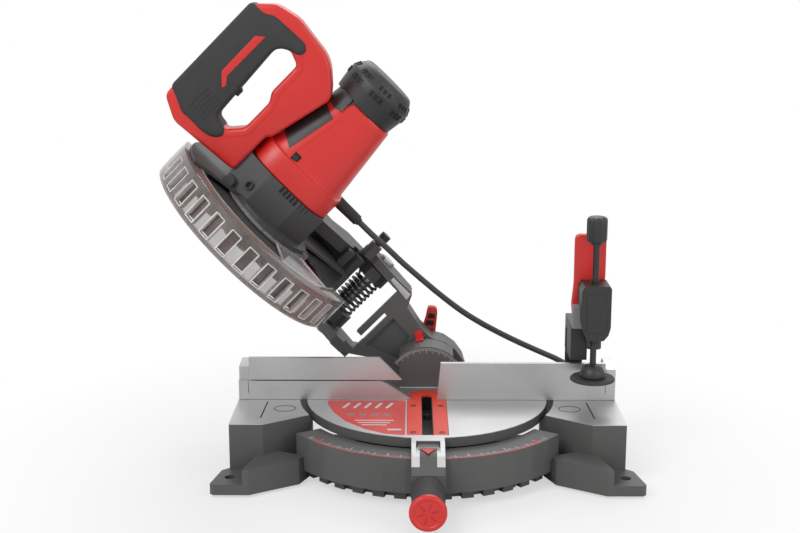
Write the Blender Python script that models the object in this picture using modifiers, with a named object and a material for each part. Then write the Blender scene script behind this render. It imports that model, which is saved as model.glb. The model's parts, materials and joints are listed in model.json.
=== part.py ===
"""Compound mitre saw with a tilting, chopping head, shown raised and tilted 45 degrees to the left.

Metres, +Z up, +X to the right of a person who stands in front, at -Y. Every piece is first shaped in
the frame of what carries it: the base frame for the table and fences, and the head frame for all that
tilts, whose X runs from the blade to the motor and whose Z runs up in the blade's own plane.
"""
import math

import bmesh
import bpy
import numpy as np
from mathutils import Matrix, Vector

# clearances shared by all pieces
SEAT_GAP = 0.0003
RUNNING_GAP = 0.0005
OVERRUN = 0.004
NUDGE = 0.0001

# the axes that everything hangs on
TABLE_Z = 0.0628
BEVEL_REST = 45.0
HINGE_Y = 0.105
HINGE_H = 0.123
ARBOR_Y = 0.005
ARBOR_H = 0.257
MOTOR_Y = 0.030
MOTOR_H = 0.269

# from the middle of the whole saw's footprint to the mitre axis
SHIFT_X = 0.0354
SHIFT_Y = 0.0472

# base casting
WALL = 0.005
DECK_T = 0.006
BASE_Z = 0.003
WING_X = 0.204
WING_FRONT = 0.091
WING_BACK = 0.050
WING_NOSE_X = 0.169
THROAT_R = 0.1375
THROAT_START = -26.0
THROAT_END = 21.0
RING_IN = 0.1325
RING_OUT = 0.161
RING_TOP = 0.052
RING_DECK_T = 0.005
RING_SKIRT_LOW = 0.016
RING_END = 57.0
RIB_OUT = 0.150
RIB_NOTCH = 0.007
RIB_LOW = 0.005
RIB_TOP = 0.020
RIB_NOTCHES = 13
RIB_MARGIN = 0.6
RIB_TOOTH_SHARE = 0.55
FOOT_X = 0.219
FOOT_Y = 0.134
FOOT_T = 0.011
FOOT_SHARES = [
    (0.545, -0.56), (0.60, -0.78), (0.82, -1.0), (0.985, -1.0),
    (1.0, -0.975), (0.968, -0.70), (0.90, -0.60), (0.78, -0.60),
]
FOOT_WALL_SHARES = [
    (0.575, -0.70), (0.60, -0.78), (0.82, -1.0), (0.85, -1.0), (0.80, -0.66), (0.70, -0.60),
]
FOOT_WALL_TOP = 0.030
FOOT_HOLE_X = 0.201
FOOT_HOLE_Y = 0.113
FOOT_HOLE_R = 0.0055
REAR_FOOT_X = 0.150
REAR_FOOT_HALF = 0.018
REAR_FOOT_Y = 0.118
REAR_LEG_TOP = 0.026
HUB_R = 0.052
HUB_TOP = 0.022
SPOKE_HALF = 0.010
SPOKE_TOP = 0.016
SPOKE_ANGLES = (0.0, 180.0, 235.0, 270.0, 305.0)
SPOKE_REACH = 0.142
PIVOT_R = 0.008

# rubber pads under the feet
PAD_R = 0.011
PAD_STEM_R = 0.004
PAD_STEM_H = 0.004
FRONT_PAD_X = 0.184
FRONT_PAD_Y = 0.116
REAR_PAD_Y = 0.104

# turntable
TABLE_R = 0.130
TABLE_T = 0.007
RIM_LOW = 0.0525
RIM_T = 0.005
TABLE_HUB_R = 0.034
SLOT_HALF = 0.0053
TROUGH_HALF = 0.014
TROUGH_WALL = 0.004
TROUGH_FLOOR = 0.040
TROUGH_FLOOR_T = 0.004
SLOT_FRONT = 0.1217
SLOT_BACK = 0.020
NOTCH_HALF = 0.054
DRUM_FRONT = 0.034
DRUM_BACK = 0.068
DRUM_R = 0.047
DRUM_HALF = 0.030
DRUM_LOW = 0.038
ARM_RAIL_IN = 0.012
ARM_RAIL_START = 0.116
ARM_RAIL_END = 0.146
ARM_OVER_RING = 0.0524
NECK_FRONT = 0.179
NECK_BACK = 0.1625
NECK_TOP = 0.0555
NECK_LOW = 0.0085
NECK_HALF = 0.0165
WINDOW_FLOOR = 0.0575

# kerf plate let into the table
KERF_HALF = 0.021
KERF_T = 0.0022
KERF_SLOT_HALF = 0.006
KERF_SLOT_BACK = 0.001
KERF_STRAIGHT = 0.004

# pivot bolt in the trough
PIVOT_HEAD_R = 0.0075
PIVOT_HEAD_H = 0.005

# mitre pointer and its window
WINDOW_HALF = 0.0105
WINDOW_BACK = 0.138
WINDOW_T = 0.0015
POINTER_HALF = 0.007
POINTER_TIP_Y = 0.1618
POINTER_T = 0.001

# front grip, lock knob and rod
GRIP_Z = 0.0255
GRIP_X = -0.001
GRIP_R = 0.0165
GRIP_NECK_R = 0.0145
GRIP_START = 0.1793
GRIP_END = 0.214
KNOB_R = 0.018
KNOB_END = 0.234
KNOB_DOME = 0.004
ROD_R = 0.0045
KNOB_RIBS = 12
KNOB_RIB_DEPTH = 0.0008

# detent lever under the grip
DETENT_HALF = 0.007
DETENT_LOW = 0.0026
DETENT_T = 0.0018
DETENT_FRONT = 0.207
DETENT_BACK = 0.1485
DETENT_PIVOT_Y = 0.171
DETENT_PIVOT_Z = 0.0044
DETENT_BOSS = 0.002
DETENT_THUMB = 0.012

# fences
FENCE_FRONT = 0.010
FENCE_BACK = 0.004
FENCE_L_OUT = 0.1925
FENCE_L_TIP = 0.0153
FENCE_L_TOP_X = 0.049
FENCE_L_TOP = 0.084
SLIDE_LOW = 0.0853
SLIDE_TOP = 0.1097
SLIDE_TIP = 0.027
SLIDE_TOP_X = 0.051
SLIDE_OUT = 0.1922
GUIDE_T = 0.0052
GUIDE_IN = 0.064
GUIDE_OUT = 0.188
GUIDE_LOW = 0.068
GUIDE_TOP = 0.100
FENCE_R_IN = 0.011
FENCE_R_OUT = 0.1925
FENCE_R_TOP = 0.104
FENCE_R_LEAN = 0.004
LUG_IN = 0.142
LUG_OUT = 0.186
LUG_BACK = 0.024
LUG_T = 0.007
EAR_X0 = 0.1935
EAR_X1 = 0.2035
EAR_BACK = 0.038
EAR_TOP = 0.0345

# bevel arm, in the head frame with its zero on the bevel axis
ARM_FRONT = 0.072
ARM_BACK = 0.108
ARM_WEB = 0.009
ARM_HALF = 0.050
ARM_TOP = 0.111
ARM_SHARES = [(-0.98, 0.955), (-0.98, 0.829), (-0.62, 0.59)]
ARM_SHARES_RIGHT = [(0.74, 0.42), (0.86, 0.66), (1.14, 0.72), (1.14, 1.0)]
ARM_HUB_R = 0.047
ARM_HUB_START = 152.0
ARM_HUB_END = 398.0
ARM_PLATE_TOP = 0.094
ARM_NOTCH_LOW = 0.0825
ARM_POCKET = 0.005
ARM_POCKET_SHARES = [(-0.42, 0.685), (0.46, 0.685), (0.42, 0.43), (-0.12, 0.333)]
ARM_BOSS_R = 0.028
CHEEK_L0 = 0.049
CHEEK_L1 = 0.037
CHEEK_R0 = 0.048
CHEEK_R1 = 0.058
CHEEK_R = 0.020
CHEEK_LOW = 0.082
CHEEK_FRONT = 0.074
PIN_Y = 0.100
PIN_H = 0.145
PIN_BOSS_R = 0.0085
PIN_BOSS_END = 0.066
ARM_SLOT_HALF = 0.020
ARM_SLOT_LOW = 0.082
ARM_SLOT_HIGH = 0.087

# bevel bolt, pointer and lever
BOLT_R = 0.006
BOLT_HEAD_R = 0.010
BOLT_HEAD_T = 0.005
BOLT_END = 0.1225
BEVEL_POINTER_ANGLE = 36.0
BEVEL_POINTER_HALF = 0.0045
BEVEL_POINTER_T = 0.0015
BEVEL_POINTER_FRONT = 0.057
LEVER_FRONT = 0.1095
LEVER_BACK = 0.1195
LEVER_HUB_R = 0.013
LEVER_LEN = 0.074
LEVER_WIDTH = 0.017
LEVER_SHARES = [
    (-0.30, 0.16), (0.42, 0.16), (0.52, 0.40), (0.50, 0.56), (0.62, 0.74), (0.55, 0.93),
    (0.36, 1.0), (0.08, 1.0), (-0.10, 0.90), (-0.38, 0.46),
]
LEVER_HOLE = 0.006
LEVER_HOLE_SHARES = [(0.08, 0.50), (0.18, 0.665), (0.26, 0.83)]

# hinge of the head
HINGE_R = 0.006
HINGE_HEAD_R = 0.0095
HINGE_HEAD_T = 0.004
EAR_L0 = 0.034
EAR_L1 = 0.018
EAR_R0 = 0.032
EAR_R1 = 0.046
EAR_R = 0.018

# torsion spring on the hinge pin
SPRING_R = 0.0145
SPRING_WIRE = 0.0016
SPRING_X0 = -0.0161
SPRING_X1 = 0.0301
SPRING_TURNS = 8
SPRING_LEG = 0.012
CURL_POINTS = 9

# transport lock pin and its spring
LOCK_R = 0.003
LOCK_TIP = 0.0486
LOCK_HEAD_X = 0.0746
LOCK_HEAD_R = 0.0062
LOCK_HEAD_T = 0.007
LOCK_SPRING_R = 0.0044
LOCK_SPRING_WIRE = 0.0005
LOCK_SPRING_TURNS = 4

# blade guards
GUARD_LEFT = 0.021
GUARD_RIGHT = 0.0187
GUARD_R = 0.119
GUARD_T = 0.0035
GUARD_WALL = 0.0018
GUARD_WALL_IN = 0.100
GUARD_LOW = -77.0
GUARD_HIGH = 75.0
GUARD_WEB_LOW = -63.0
GUARD_WEB_HIGH = -20.0
GUARD_HUB_R = 0.050
GUARD_HUB_T = 0.008
GUARD_WINDOWS = 10
GUARD_WINDOW_ARC = 4.6
GUARD_WINDOW_PITCH = 11.5
GUARD_WINDOW_FIRST = -60.0
GUARD_WINDOW_LEFT = 0.015
GUARD_WINDOW_RIGHT = 0.011
HOOD_R = 0.130
HOOD_IN = 0.1218
HOOD_LEFT = 0.023
HOOD_RIGHT = 0.0222
HOOD_LOW = 60.0
HOOD_HIGH = 240.0
HOOD_FLANGE_IN = 0.113
HOOD_WALL_X = 0.0192
HOOD_WEB_R = 0.036
HOOD_BACK_START = 196.0
HOOD_BACK_END = 237.0
HOOD_BACK_X0 = 0.0335
HOOD_BACK_X1 = 0.0455
HOOD_BACK_IN = 0.1245
HOOD_BACK_R = 0.135
PLATE_R = 0.112
PLATE_LOW_R = 0.100
PLATE_STEP = 0.0
PLATE_IN = 0.030
PLATE_X0 = 0.012
PLATE_X1 = 0.0145
PLATE_LOW = -50.0
PLATE_HIGH = 233.0

# gear case
CASE_X0 = 0.0195
CASE_X1 = 0.061
CASE_HALF_Y = 0.053
CASE_HALF_H = 0.055
CASE_SHARES = [
    (-0.78, 0.97), (-1.0, 0.38), (-0.85, -0.58), (-0.36, -0.95),
    (0.42, -0.95), (0.91, -0.60), (1.0, 0.28), (0.76, 0.97),
]
GEAR_TEETH = 38
PINION_TEETH = 8
GEAR_X0 = 0.036
GEAR_X1 = 0.046
GEAR_CAVITY_X0 = 0.0335
GEAR_WALL = 0.0012
ARMATURE_BORE_R = 0.0140
STUD_Y = -0.0130
STUD_H = 0.317
STUD_R = 0.0058
STUD_LEN = 0.0045
STRUT_SHARES_LEFT = [(0.50, 0.16), (0.72, 0.40), (0.96, 0.70), (1.124, 0.964), (1.33, 0.62)]
STRUT_SHARES_RIGHT = [
    (0.985, 0.32), (0.84, 0.46), (0.80, 0.60), (0.70, 1.18), (1.05, 1.18), (1.33, 0.62), (1.26, 0.20),
]
EAR_LEFT_END = -200.0
EAR_RIGHT_END = -235.0
EAR_START = 12.0
STRUT_RISE = 0.083

# spindle train
BLADE_R = 0.105
BLADE_ROOT_R = 0.099
BLADE_BORE_R = 0.0080
BLADE_T = 0.0018
BLADE_TEETH = 40
TOOTH_LEAN_SHARE = 0.42
FLANGE_R = 0.021
FLANGE_T = 0.0045
FLANGE_HUB_R = 0.012
SPINDLE_R = 0.0076
SPINDLE_END = 0.0555
NUT_R = 0.010
NUT_T = 0.007
BEARING_R = 0.013
BEARING_T = 0.008
BEARING_X = 0.0225
SEAT_R = 0.0095

# motor
COLLAR_HALF = 0.0525
COLLAR_END = 0.086
SHROUD_HALF = 0.0490
SHROUD_END = 0.172
SHROUD_END_HALF = 0.0345
SHROUD_END_H = 0.265
SHROUD_WALL = 0.0032
SHROUD_SQUARE = 3.2
SHROUD_POINTS = 32
CAP_NECK_R = 0.0315
CAP_R = 0.0395
CAP_FLARE = 0.190
CAP_SHOULDER = 0.199
CAP_END = 0.213
CAP_END_R = 0.031
CAP_WALL = 0.003
CAP_SLOTS = 10
CAP_SLOT_W = 0.0032
CAP_SLOT_X0 = 0.1885
CAP_SLOT_X1 = 0.2055
ARMATURE_SHAFT_R = 0.004
ARMATURE_R = 0.0215
ARMATURE_X0 = 0.098
ARMATURE_X1 = 0.142
STATOR_R = 0.0335
STATOR_IN = 0.0228
COMMUTATOR_R = 0.012
COMMUTATOR_X0 = 0.150
COMMUTATOR_X1 = 0.162
FAN_R = 0.036
FAN_HUB_R = 0.009
FAN_X0 = 0.074
FAN_T = 0.009
FAN_BLADES = 9
FAN_BLADE_T = 0.0016
MOTOR_BEARING_R = 0.011
MOTOR_BEARING_T = 0.007
FRONT_BEARING_X = 0.0535
REAR_BEARING_X = 0.172
BRUSH_HALF = 0.003
BRUSH_LEN = 0.012

# D handle
HANDLE_HALF = 0.0170
HANDLE_W = 0.195
HANDLE_H = 0.425
HANDLE_SHARES = [
    (0.175, 0.7640), (0.431, 0.7640), (0.4462, 0.7535), (0.810, 0.7145), (0.860, 0.7330),
    (0.935, 0.7695), (0.969, 0.7906), (1.0, 0.8965), (0.969, 0.9576), (0.877, 1.0),
    (0.215, 1.0), (0.144, 0.9412),
]
OPENING_SHARES = [
    (0.318, 0.8776), (0.308, 0.8376), (0.385, 0.8071), (0.574, 0.8071), (0.620, 0.8212),
    (0.815, 0.8212), (0.846, 0.8565), (0.815, 0.8800), (0.774, 0.8894),
]
GRIP_HALF = 0.0195
GRIP_SHARES = [
    (0.200, 1.0050), (0.128, 0.9390), (0.150, 0.8750), (0.200, 0.8240), (0.262, 0.8000),
    (0.315, 0.8150), (0.312, 0.8376), (0.322, 0.8776), (0.774, 0.8870), (0.812, 0.8780),
    (0.870, 0.8850), (0.895, 0.9050), (0.880, 0.9500), (0.830, 0.9850), (0.780, 1.0060),
]
CORE_SHARES = [
    (0.165, 0.9200), (0.190, 0.8600), (0.235, 0.7800), (0.290, 0.7800), (0.285, 0.8400), (0.300, 0.9000),
    (0.780, 0.9060), (0.860, 0.9000), (1.100, 0.9300), (0.900, 0.9870), (0.250, 0.9870),
]
CORE_HALF = 0.0145
TRIGGER_X0 = 0.090
TRIGGER_X1 = 0.106
TRIGGER_HALF = 0.004
TRIGGER_LOW = 0.3705
TRIGGER_HIGH = 0.391
TRIGGER_PIVOT_X = 0.1025
TRIGGER_PIVOT_H = 0.387
TRIGGER_ROOM = 0.0035
TRIGGER_SHARES = [(0.10, 0.0), (0.55, 0.0), (0.80, 0.30), (1.0, 0.45), (1.0, 1.0), (0.30, 1.0), (0.0, 0.55)]

# mains cord
CORD_R = 0.0033
RELIEF_X = 0.080
RELIEF_Y = 0.038
RELIEF_TOP = 0.2165
RELIEF_END = 0.184
RELIEF_TOP_R = 0.0085
RELIEF_END_R = 0.0058
RELIEF_COLLAR = 0.004
LEAD = 0.008
END_LEAD = 0.036
CORD_ROUTE = [
    (-0.0735, 0.0380, 0.2495), (-0.0655, 0.0380, 0.2415), (-0.0570, 0.0390, 0.2330),
    (-0.0440, 0.0440, 0.2200), (-0.0270, 0.0510, 0.2020), (-0.0070, 0.0590, 0.1825),
    (0.0150, 0.0670, 0.1620), (0.0385, 0.0745, 0.1420), (0.0605, 0.0800, 0.1265),
    (0.0840, 0.0845, 0.1125), (0.1080, 0.0870, 0.1000), (0.1315, 0.0890, 0.0888),
    (0.1540, 0.0930, 0.0775), (0.1730, 0.1010, 0.0630), (0.1850, 0.1130, 0.0450),
    (0.1885, 0.1290, 0.0250), (0.1840, 0.1480, 0.0105), (0.1745, 0.1680, 0.0045),
    (0.1625, 0.1880, 0.0034), (0.1545, 0.2020, 0.0034), (0.1530, 0.2110, 0.0034),
    (0.1530, 0.2197, 0.0034),
]
STRETCH_POINTS = 46
COIL_X = 0.104
COIL_Y = 0.228
COIL_R = 0.049
COIL_PITCH = 0.0083
COIL_LAYER_TURNS = 2.5
COIL_CLIMB = 0.0077
LOOP_POINTS = 24
FLOOR_LIFT = 0.0001
PLUG_LEN = 0.038
PLUG_W = 0.0345
PLUG_T = 0.021
PLUG_NECK_LEN = 0.014
PLUG_NECK_R = 0.0062
PLUG_PIN_R = 0.0024
PLUG_PIN_LEN = 0.019
PLUG_PIN_X = 0.0095
PLUG_ROUND = 0.005

# quick clamp on the right fence
POST_X = 0.161
POST_Y = 0.018
POST_TOP = 0.137
POST_HALF = 0.0085
POST_FLANGE_T = 0.0026
POST_WEB_T = 0.003
POST_FOOT_R = 0.013
POST_FOOT_T = 0.003
CLAMP_X = 0.1745
CLAMP_Y = -0.038
CLAMP_BODY_HALF = 0.0155
CLAMP_BODY_LOW = 0.141
CLAMP_BODY_TOP = 0.199
CLAMP_BODY_FRONT = 0.052
CLAMP_BODY_BACK = 0.0185
BODY_SHARES = [
    (-0.55, 0.0), (0.55, 0.0), (0.86, 0.10), (1.0, 0.24), (1.0, 0.95), (0.90, 1.0),
    (-0.80, 1.0), (-1.0, 0.90), (-1.0, 0.36), (-0.80, 0.14),
]
BRACKET_X0 = 0.1525
BRACKET_X1 = 0.1700
BRACKET_LOW = 0.1120
BRACKET_TOP = 0.1500
BRACKET_BACK = 0.030
CLAMP_COLLAR_R = 0.008
CLAMP_COLLAR_LOW = 0.130
CLAMP_ROD_R = 0.0033
CLAMP_ROD_LOW = 0.1125
KNOB_LOW = 0.240
CLAMP_KNOB_LOW = 0.254
CLAMP_KNOB_TOP = 0.270
CLAMP_KNOB_R = 0.0108
CLAMP_KNOB_NECK_R = 0.0062
DOME_R = 0.0135
DOME_LOW = 0.098
DOME_TOP = 0.1122
DISC_R = 0.0235
DISC_T = 0.0028
SQUEEZE_FRONT = 0.018
SQUEEZE_BACK = 0.008
SQUEEZE_LOW = 0.152
SQUEEZE_TOP = 0.247
SQUEEZE_X0 = 0.153
SQUEEZE_X1 = 0.188
SQUEEZE_SHARES = [
    (0.06, 0.0), (0.30, 0.0), (0.42, 0.25), (0.95, 0.42), (1.0, 0.50), (1.0, 0.96),
    (0.94, 1.0), (0.14, 1.0), (0.06, 0.96), (0.06, 0.45), (0.0, 0.20),
]
SQUEEZE_PIVOT_X = 0.1615
SQUEEZE_PIVOT_Z = 0.1625
SQUEEZE_PIN_R = 0.0025
RELEASE_X0 = 0.1515
RELEASE_X1 = 0.1625
RELEASE_LOW = 0.152
RELEASE_TOP = 0.176
RELEASE_HALF = 0.005
RELEASE_TRAVEL = 0.002


# scene set-up: an empty file, one collection for the parts and one for the cutting tools
for old in list(bpy.data.objects):
    bpy.data.objects.remove(old)
PARTS = bpy.data.collections.new("mitre_saw")
CUTTERS = bpy.data.collections.new("cutters")
for collection in (PARTS, CUTTERS):
    bpy.context.scene.collection.children.link(collection)


def material(name, colour, roughness, metallic=0.0, alpha=1.0):
    """A Principled material with one colour."""
    made = bpy.data.materials.new(name)
    made.use_nodes = True
    shader = made.node_tree.nodes["Principled BSDF"]
    shader.inputs["Base Color"].default_value = (*colour, 1.0)
    shader.inputs["Roughness"].default_value = roughness
    shader.inputs["Metallic"].default_value = metallic
    shader.inputs["Alpha"].default_value = alpha
    return made


PAINT = material("grey_paint", (0.10, 0.10, 0.105), 0.5)
ALLOY = material("machined_alloy", (0.66, 0.66, 0.66), 0.34, 1.0)
STEEL = material("steel", (0.52, 0.52, 0.53), 0.3, 1.0)
BLACK = material("black_plastic", (0.02, 0.02, 0.022), 0.45)
SOFT = material("soft_grip", (0.035, 0.035, 0.037), 0.8)
RED = material("red_plastic", (0.75, 0.035, 0.03), 0.35)
GREY = material("grey_plastic", (0.32, 0.32, 0.33), 0.5)
SMOKE = material("smoked_clear", (0.30, 0.29, 0.28), 0.12, 0.0, 0.45)
CRIMSON = material("coated_blade", (0.42, 0.02, 0.10), 0.35, 0.4)
COPPER = material("copper", (0.72, 0.32, 0.16), 0.35, 1.0)
RUBBER = material("rubber", (0.03, 0.03, 0.03), 0.9)


def keep_mesh(bm, name):
    """Turns a bmesh into an object in the cutters' collection, where every raw shape starts."""
    bmesh.ops.recalc_face_normals(bm, faces=bm.faces)
    mesh = bpy.data.meshes.new(name)
    bm.to_mesh(mesh)
    bm.free()
    made = bpy.data.objects.new(name, mesh)
    CUTTERS.objects.link(made)
    return made


def as_mesh(shape):
    """Replaces a curve or a modified object by the mesh it makes, with loose caps welded."""
    bpy.context.view_layer.update()
    evaluated = shape.evaluated_get(bpy.context.evaluated_depsgraph_get())
    mesh = bpy.data.meshes.new_from_object(evaluated)
    mesh.transform(shape.matrix_world)
    bm = bmesh.new()
    bm.from_mesh(mesh)
    bmesh.ops.remove_doubles(bm, verts=bm.verts, dist=1e-6)
    bpy.data.meshes.remove(mesh)
    name = shape.name
    bpy.data.objects.remove(shape)
    return keep_mesh(bm, name)


def box(x, y, z):
    """A block between two values on each axis."""
    bm = bmesh.new()
    bmesh.ops.create_cube(bm, size=1.0)
    size = Vector((x[1] - x[0], y[1] - y[0], z[1] - z[0]))
    middle = Vector((x[0] + x[1], y[0] + y[1], z[0] + z[1])) / 2
    bmesh.ops.scale(bm, vec=size, verts=bm.verts)
    bmesh.ops.translate(bm, vec=middle, verts=bm.verts)
    return keep_mesh(bm, "block")


TURNS = {
    "X": Matrix(((0, 0, 1), (1, 0, 0), (0, 1, 0))),
    "Y": Matrix(((1, 0, 0), (0, 0, -1), (0, 1, 0))),
    "Z": Matrix.Identity(3),
}


def rod(axis, at, low, high, radius, end_radius=None, sides=18):
    """A round bar or cone along an axis, at a place on the two other axes, taken in order."""
    bm = bmesh.new()
    end_radius = radius if end_radius is None else end_radius
    bmesh.ops.create_cone(
        bm, cap_ends=True, segments=sides, radius1=radius, radius2=end_radius, depth=high - low
    )
    bmesh.ops.translate(bm, vec=(0, 0, (low + high) / 2), verts=bm.verts)
    if axis == "Y":
        bmesh.ops.scale(bm, vec=(1, 1, -1), verts=bm.verts)
    bmesh.ops.transform(bm, matrix=TURNS[axis].to_4x4(), verts=bm.verts)
    place = {"X": (0, at[0], at[1]), "Y": (at[0], 0, at[1]), "Z": (at[0], at[1], 0)}[axis]
    bmesh.ops.translate(bm, vec=place, verts=bm.verts)
    return keep_mesh(bm, "bar")


def sheet(axis, low, high, outline, holes=()):
    """A flat outline given thickness along an axis; its points are on the two other axes, in order."""
    curve = bpy.data.curves.new("outline", "CURVE")
    curve.dimensions = "2D"
    curve.fill_mode = "BOTH"
    curve.extrude = (high - low) / 2
    for points in (outline, *holes):
        spline = curve.splines.new("POLY")
        spline.points.add(len(points) - 1)
        for point, (u, v) in zip(spline.points, points):
            point.co = (u, v, 0, 1)
        spline.use_cyclic_u = True
    shape = bpy.data.objects.new("outline", curve)
    CUTTERS.objects.link(shape)
    turn = TURNS[axis].to_4x4()
    middle = (low + high) / 2
    shape.matrix_world = Matrix.Translation(turn.col[2].xyz * (-middle if axis == "Y" else middle)) @ turn
    return as_mesh(shape)


def turned(axis, at, profile, sides=32):
    """A closed profile of (radius, place along the axis) carried round that axis by a Screw modifier."""
    curve = bpy.data.meshes.new("profile")
    verts = [(r, 0, s) for r, s in profile]
    edges = [(i, i + 1) for i in range(len(verts) - 1)]
    if profile[0][0] > 0:
        edges.append((len(verts) - 1, 0))
    curve.from_pydata(verts, edges, [])
    shape = bpy.data.objects.new("turned", curve)
    CUTTERS.objects.link(shape)
    screw = shape.modifiers.new("turn", "SCREW")
    screw.steps = sides
    screw.render_steps = sides
    screw.merge_threshold = 1e-6
    screw.use_merge_vertices = True
    place = {"X": (0, at[0], at[1]), "Y": (at[0], 0, at[1]), "Z": (at[0], at[1], 0)}[axis]
    turn = TURNS[axis].to_4x4()
    if axis == "Y":
        turn = turn @ Matrix.Scale(-1, 4, (0, 0, 1))
    shape.matrix_world = Matrix.Translation(place) @ turn
    return as_mesh(shape)


def loft(sections):
    """A skin through rings of equally many points, closed at both ends."""
    bm = bmesh.new()
    rings = [[bm.verts.new(point) for point in ring] for ring in sections]
    count = len(rings[0])
    for near, far in zip(rings, rings[1:]):
        for i in range(count):
            j = (i + 1) % count
            bm.faces.new((near[i], near[j], far[j], far[i]))
    bm.faces.new(rings[0])
    bm.faces.new(rings[-1])
    return keep_mesh(bm, "loft")


def swept(axis, at, profile, start, end, steps):
    """A closed profile of (radius, place along the axis) carried round part of a circle, in degrees."""
    turn = TURNS[axis]
    middle = {"X": (0, at[0], at[1]), "Y": (at[0], 0, at[1]), "Z": (at[0], at[1], 0)}[axis]
    sections = []
    for i in range(steps + 1):
        angle = math.radians(start + (end - start) * i / steps)
        ring = [Vector((r * math.cos(angle), r * math.sin(angle), s)) for r, s in profile]
        sections.append([turn @ point + Vector(middle) for point in ring])
    return loft(sections)


def guard_swept(profile, low, high, steps):
    """The same round the arbor, its angles counted from the front, -Y, up towards +Z."""
    return swept("X", (ARBOR_Y, ARBOR_H), profile, 180.0 - low, 180.0 - high, steps)


def tube(points, radius, resolution):
    """A wire or cord along points, with flat filled ends."""
    curve = bpy.data.curves.new("tube", "CURVE")
    curve.dimensions = "3D"
    curve.bevel_depth = radius
    curve.bevel_resolution = resolution
    curve.use_fill_caps = True
    spline = curve.splines.new("POLY")
    spline.points.add(len(points) - 1)
    for point, place in zip(spline.points, points):
        point.co = (*place, 1)
    shape = bpy.data.objects.new("tube", curve)
    CUTTERS.objects.link(shape)
    return as_mesh(shape)


def together(shapes):
    """One mesh of several shapes that stay apart, to cut them all at once."""
    bm = bmesh.new()
    for shape in shapes:
        bm.from_mesh(shape.data)
        bpy.data.objects.remove(shape)
    return keep_mesh(bm, "set")


def combine(target, tools, operation):
    """Adds a live Boolean for each tool, which then hangs on its target."""
    for tool in tools:
        step = target.modifiers.new(operation.lower(), "BOOLEAN")
        step.operation = operation
        step.solver = "EXACT"
        step.object = tool
        tool.parent = target
        tool.hide_render = True
        tool.display_type = "WIRE"


def cut(target, *tools):
    combine(target, tools, "DIFFERENCE")
    return target


def join(target, *tools):
    combine(target, tools, "UNION")
    return target


def rounded(target, width, segments=2, angle=40.0):
    """Rounds the edges that turn by more than an angle, in degrees."""
    step = target.modifiers.new("rounded", "BEVEL")
    step.width = width
    step.segments = segments
    step.limit_method = "ANGLE"
    step.angle_limit = math.radians(angle)
    step.use_clamp_overlap = True
    return target


def arc(x, y, radius, start, end, steps):
    """Points on a circle from one angle to another, in degrees."""
    angles = [math.radians(start + (end - start) * i / steps) for i in range(steps + 1)]
    return [(x + radius * math.cos(a), y + radius * math.sin(a)) for a in angles]


def scaled(shares, width, height, x=0.0, y=0.0):
    """Outline points from shares of a width and a height."""
    return [(x + u * width, y + v * height) for u, v in shares]


def mirrored(points):
    return [(-x, y) for x, y in reversed(points)]


def sector(inner, outer, start, end, steps, x=0.0, y=0.0):
    """A piece of a flat ring, between two angles in degrees."""
    return arc(x, y, outer, start, end, steps) + arc(x, y, inner, end, start, steps)


def guard_sector(inner, outer, low, high, steps):
    """A ring piece round the arbor, its angles counted from the front, -Y, up towards +Z."""
    return sector(inner, outer, 180.0 - low, 180.0 - high, steps, ARBOR_Y, ARBOR_H)


def inset(points, distance):
    """A closed outline moved inwards by a distance, corner by corner."""
    area = sum(a[0] * b[1] - b[0] * a[1] for a, b in zip(points, points[1:] + points[:1]))
    side = 1.0 if area > 0 else -1.0
    moved = []
    count = len(points)
    for i in range(count):
        before = Vector(points[i]) - Vector(points[i - 1])
        after = Vector(points[(i + 1) % count]) - Vector(points[i])
        n1 = Vector((-before.y, before.x)).normalized() * side
        n2 = Vector((-after.y, after.x)).normalized() * side
        bisector = (n1 + n2).normalized()
        moved.append(tuple(Vector(points[i]) + bisector * (distance / max(bisector.dot(n1), 0.3))))
    return moved


def wheel_outline(radius, root, teeth, at=(0.0, 0.0), turn=0.0, tip=0.11, foot=0.23):
    """A toothed wheel's outline, with straight-sided teeth given as shares of their pitch."""
    pitch = 2 * math.pi / teeth
    points = []
    for i in range(teeth):
        middle = math.radians(turn) + i * pitch
        for r, share in ((root, -foot), (radius, -tip), (radius, tip), (root, foot)):
            angle = middle + share * pitch
            points.append((at[0] + r * math.cos(angle), at[1] + r * math.sin(angle)))
    return points


# carriers: an empty on each joint axis that others ride on
def empty(name, parent, place, turn=0.0):
    made = bpy.data.objects.new(name, None)
    PARTS.objects.link(made)
    made.parent = parent
    made.location = place
    made.rotation_euler = (0, math.radians(turn), 0)
    return made


ROOT = empty("saw_origin", None, (SHIFT_X, SHIFT_Y, 0))
MITRE = empty("mitre_axis", ROOT, (0, 0, 0))
BEVEL = empty("bevel_axis", MITRE, (0, 0, TABLE_Z), -BEVEL_REST)
CHOP = empty("chop_axis", BEVEL, (0, HINGE_Y, HINGE_H))
OFFSETS = {
    ROOT.name: Vector((0, 0, 0)),
    MITRE.name: Vector((0, 0, 0)),
    BEVEL.name: Vector((0, 0, 0)),
    CHOP.name: Vector((0, HINGE_Y, HINGE_H)),
}


def place(name, shape, finish, carrier, origin=None):
    """Names a finished piece, hangs it on its carrier and puts its origin on its own axis."""
    start = OFFSETS[carrier.name]
    origin = start if origin is None else Vector(origin)
    shape.name = name
    shape.data.name = name
    shape.data.materials.clear()
    shape.data.materials.append(finish)
    shape.data.transform(Matrix.Translation(-origin))
    for tool in shape.children:
        tool.location = tool.location - origin
    shape.parent = carrier
    shape.location = origin - start
    CUTTERS.objects.unlink(shape)
    PARTS.objects.link(shape)
    shape.data.shade_smooth()
    shape.data.set_sharp_from_angle(angle=math.radians(35))
    return shape


# base
def wing_outline():
    return [
        (WING_X, WING_BACK), (WING_X, -WING_FRONT), (WING_NOSE_X, -WING_FRONT),
        *arc(0, 0, THROAT_R, THROAT_START, THROAT_END, 10),
    ]


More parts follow.
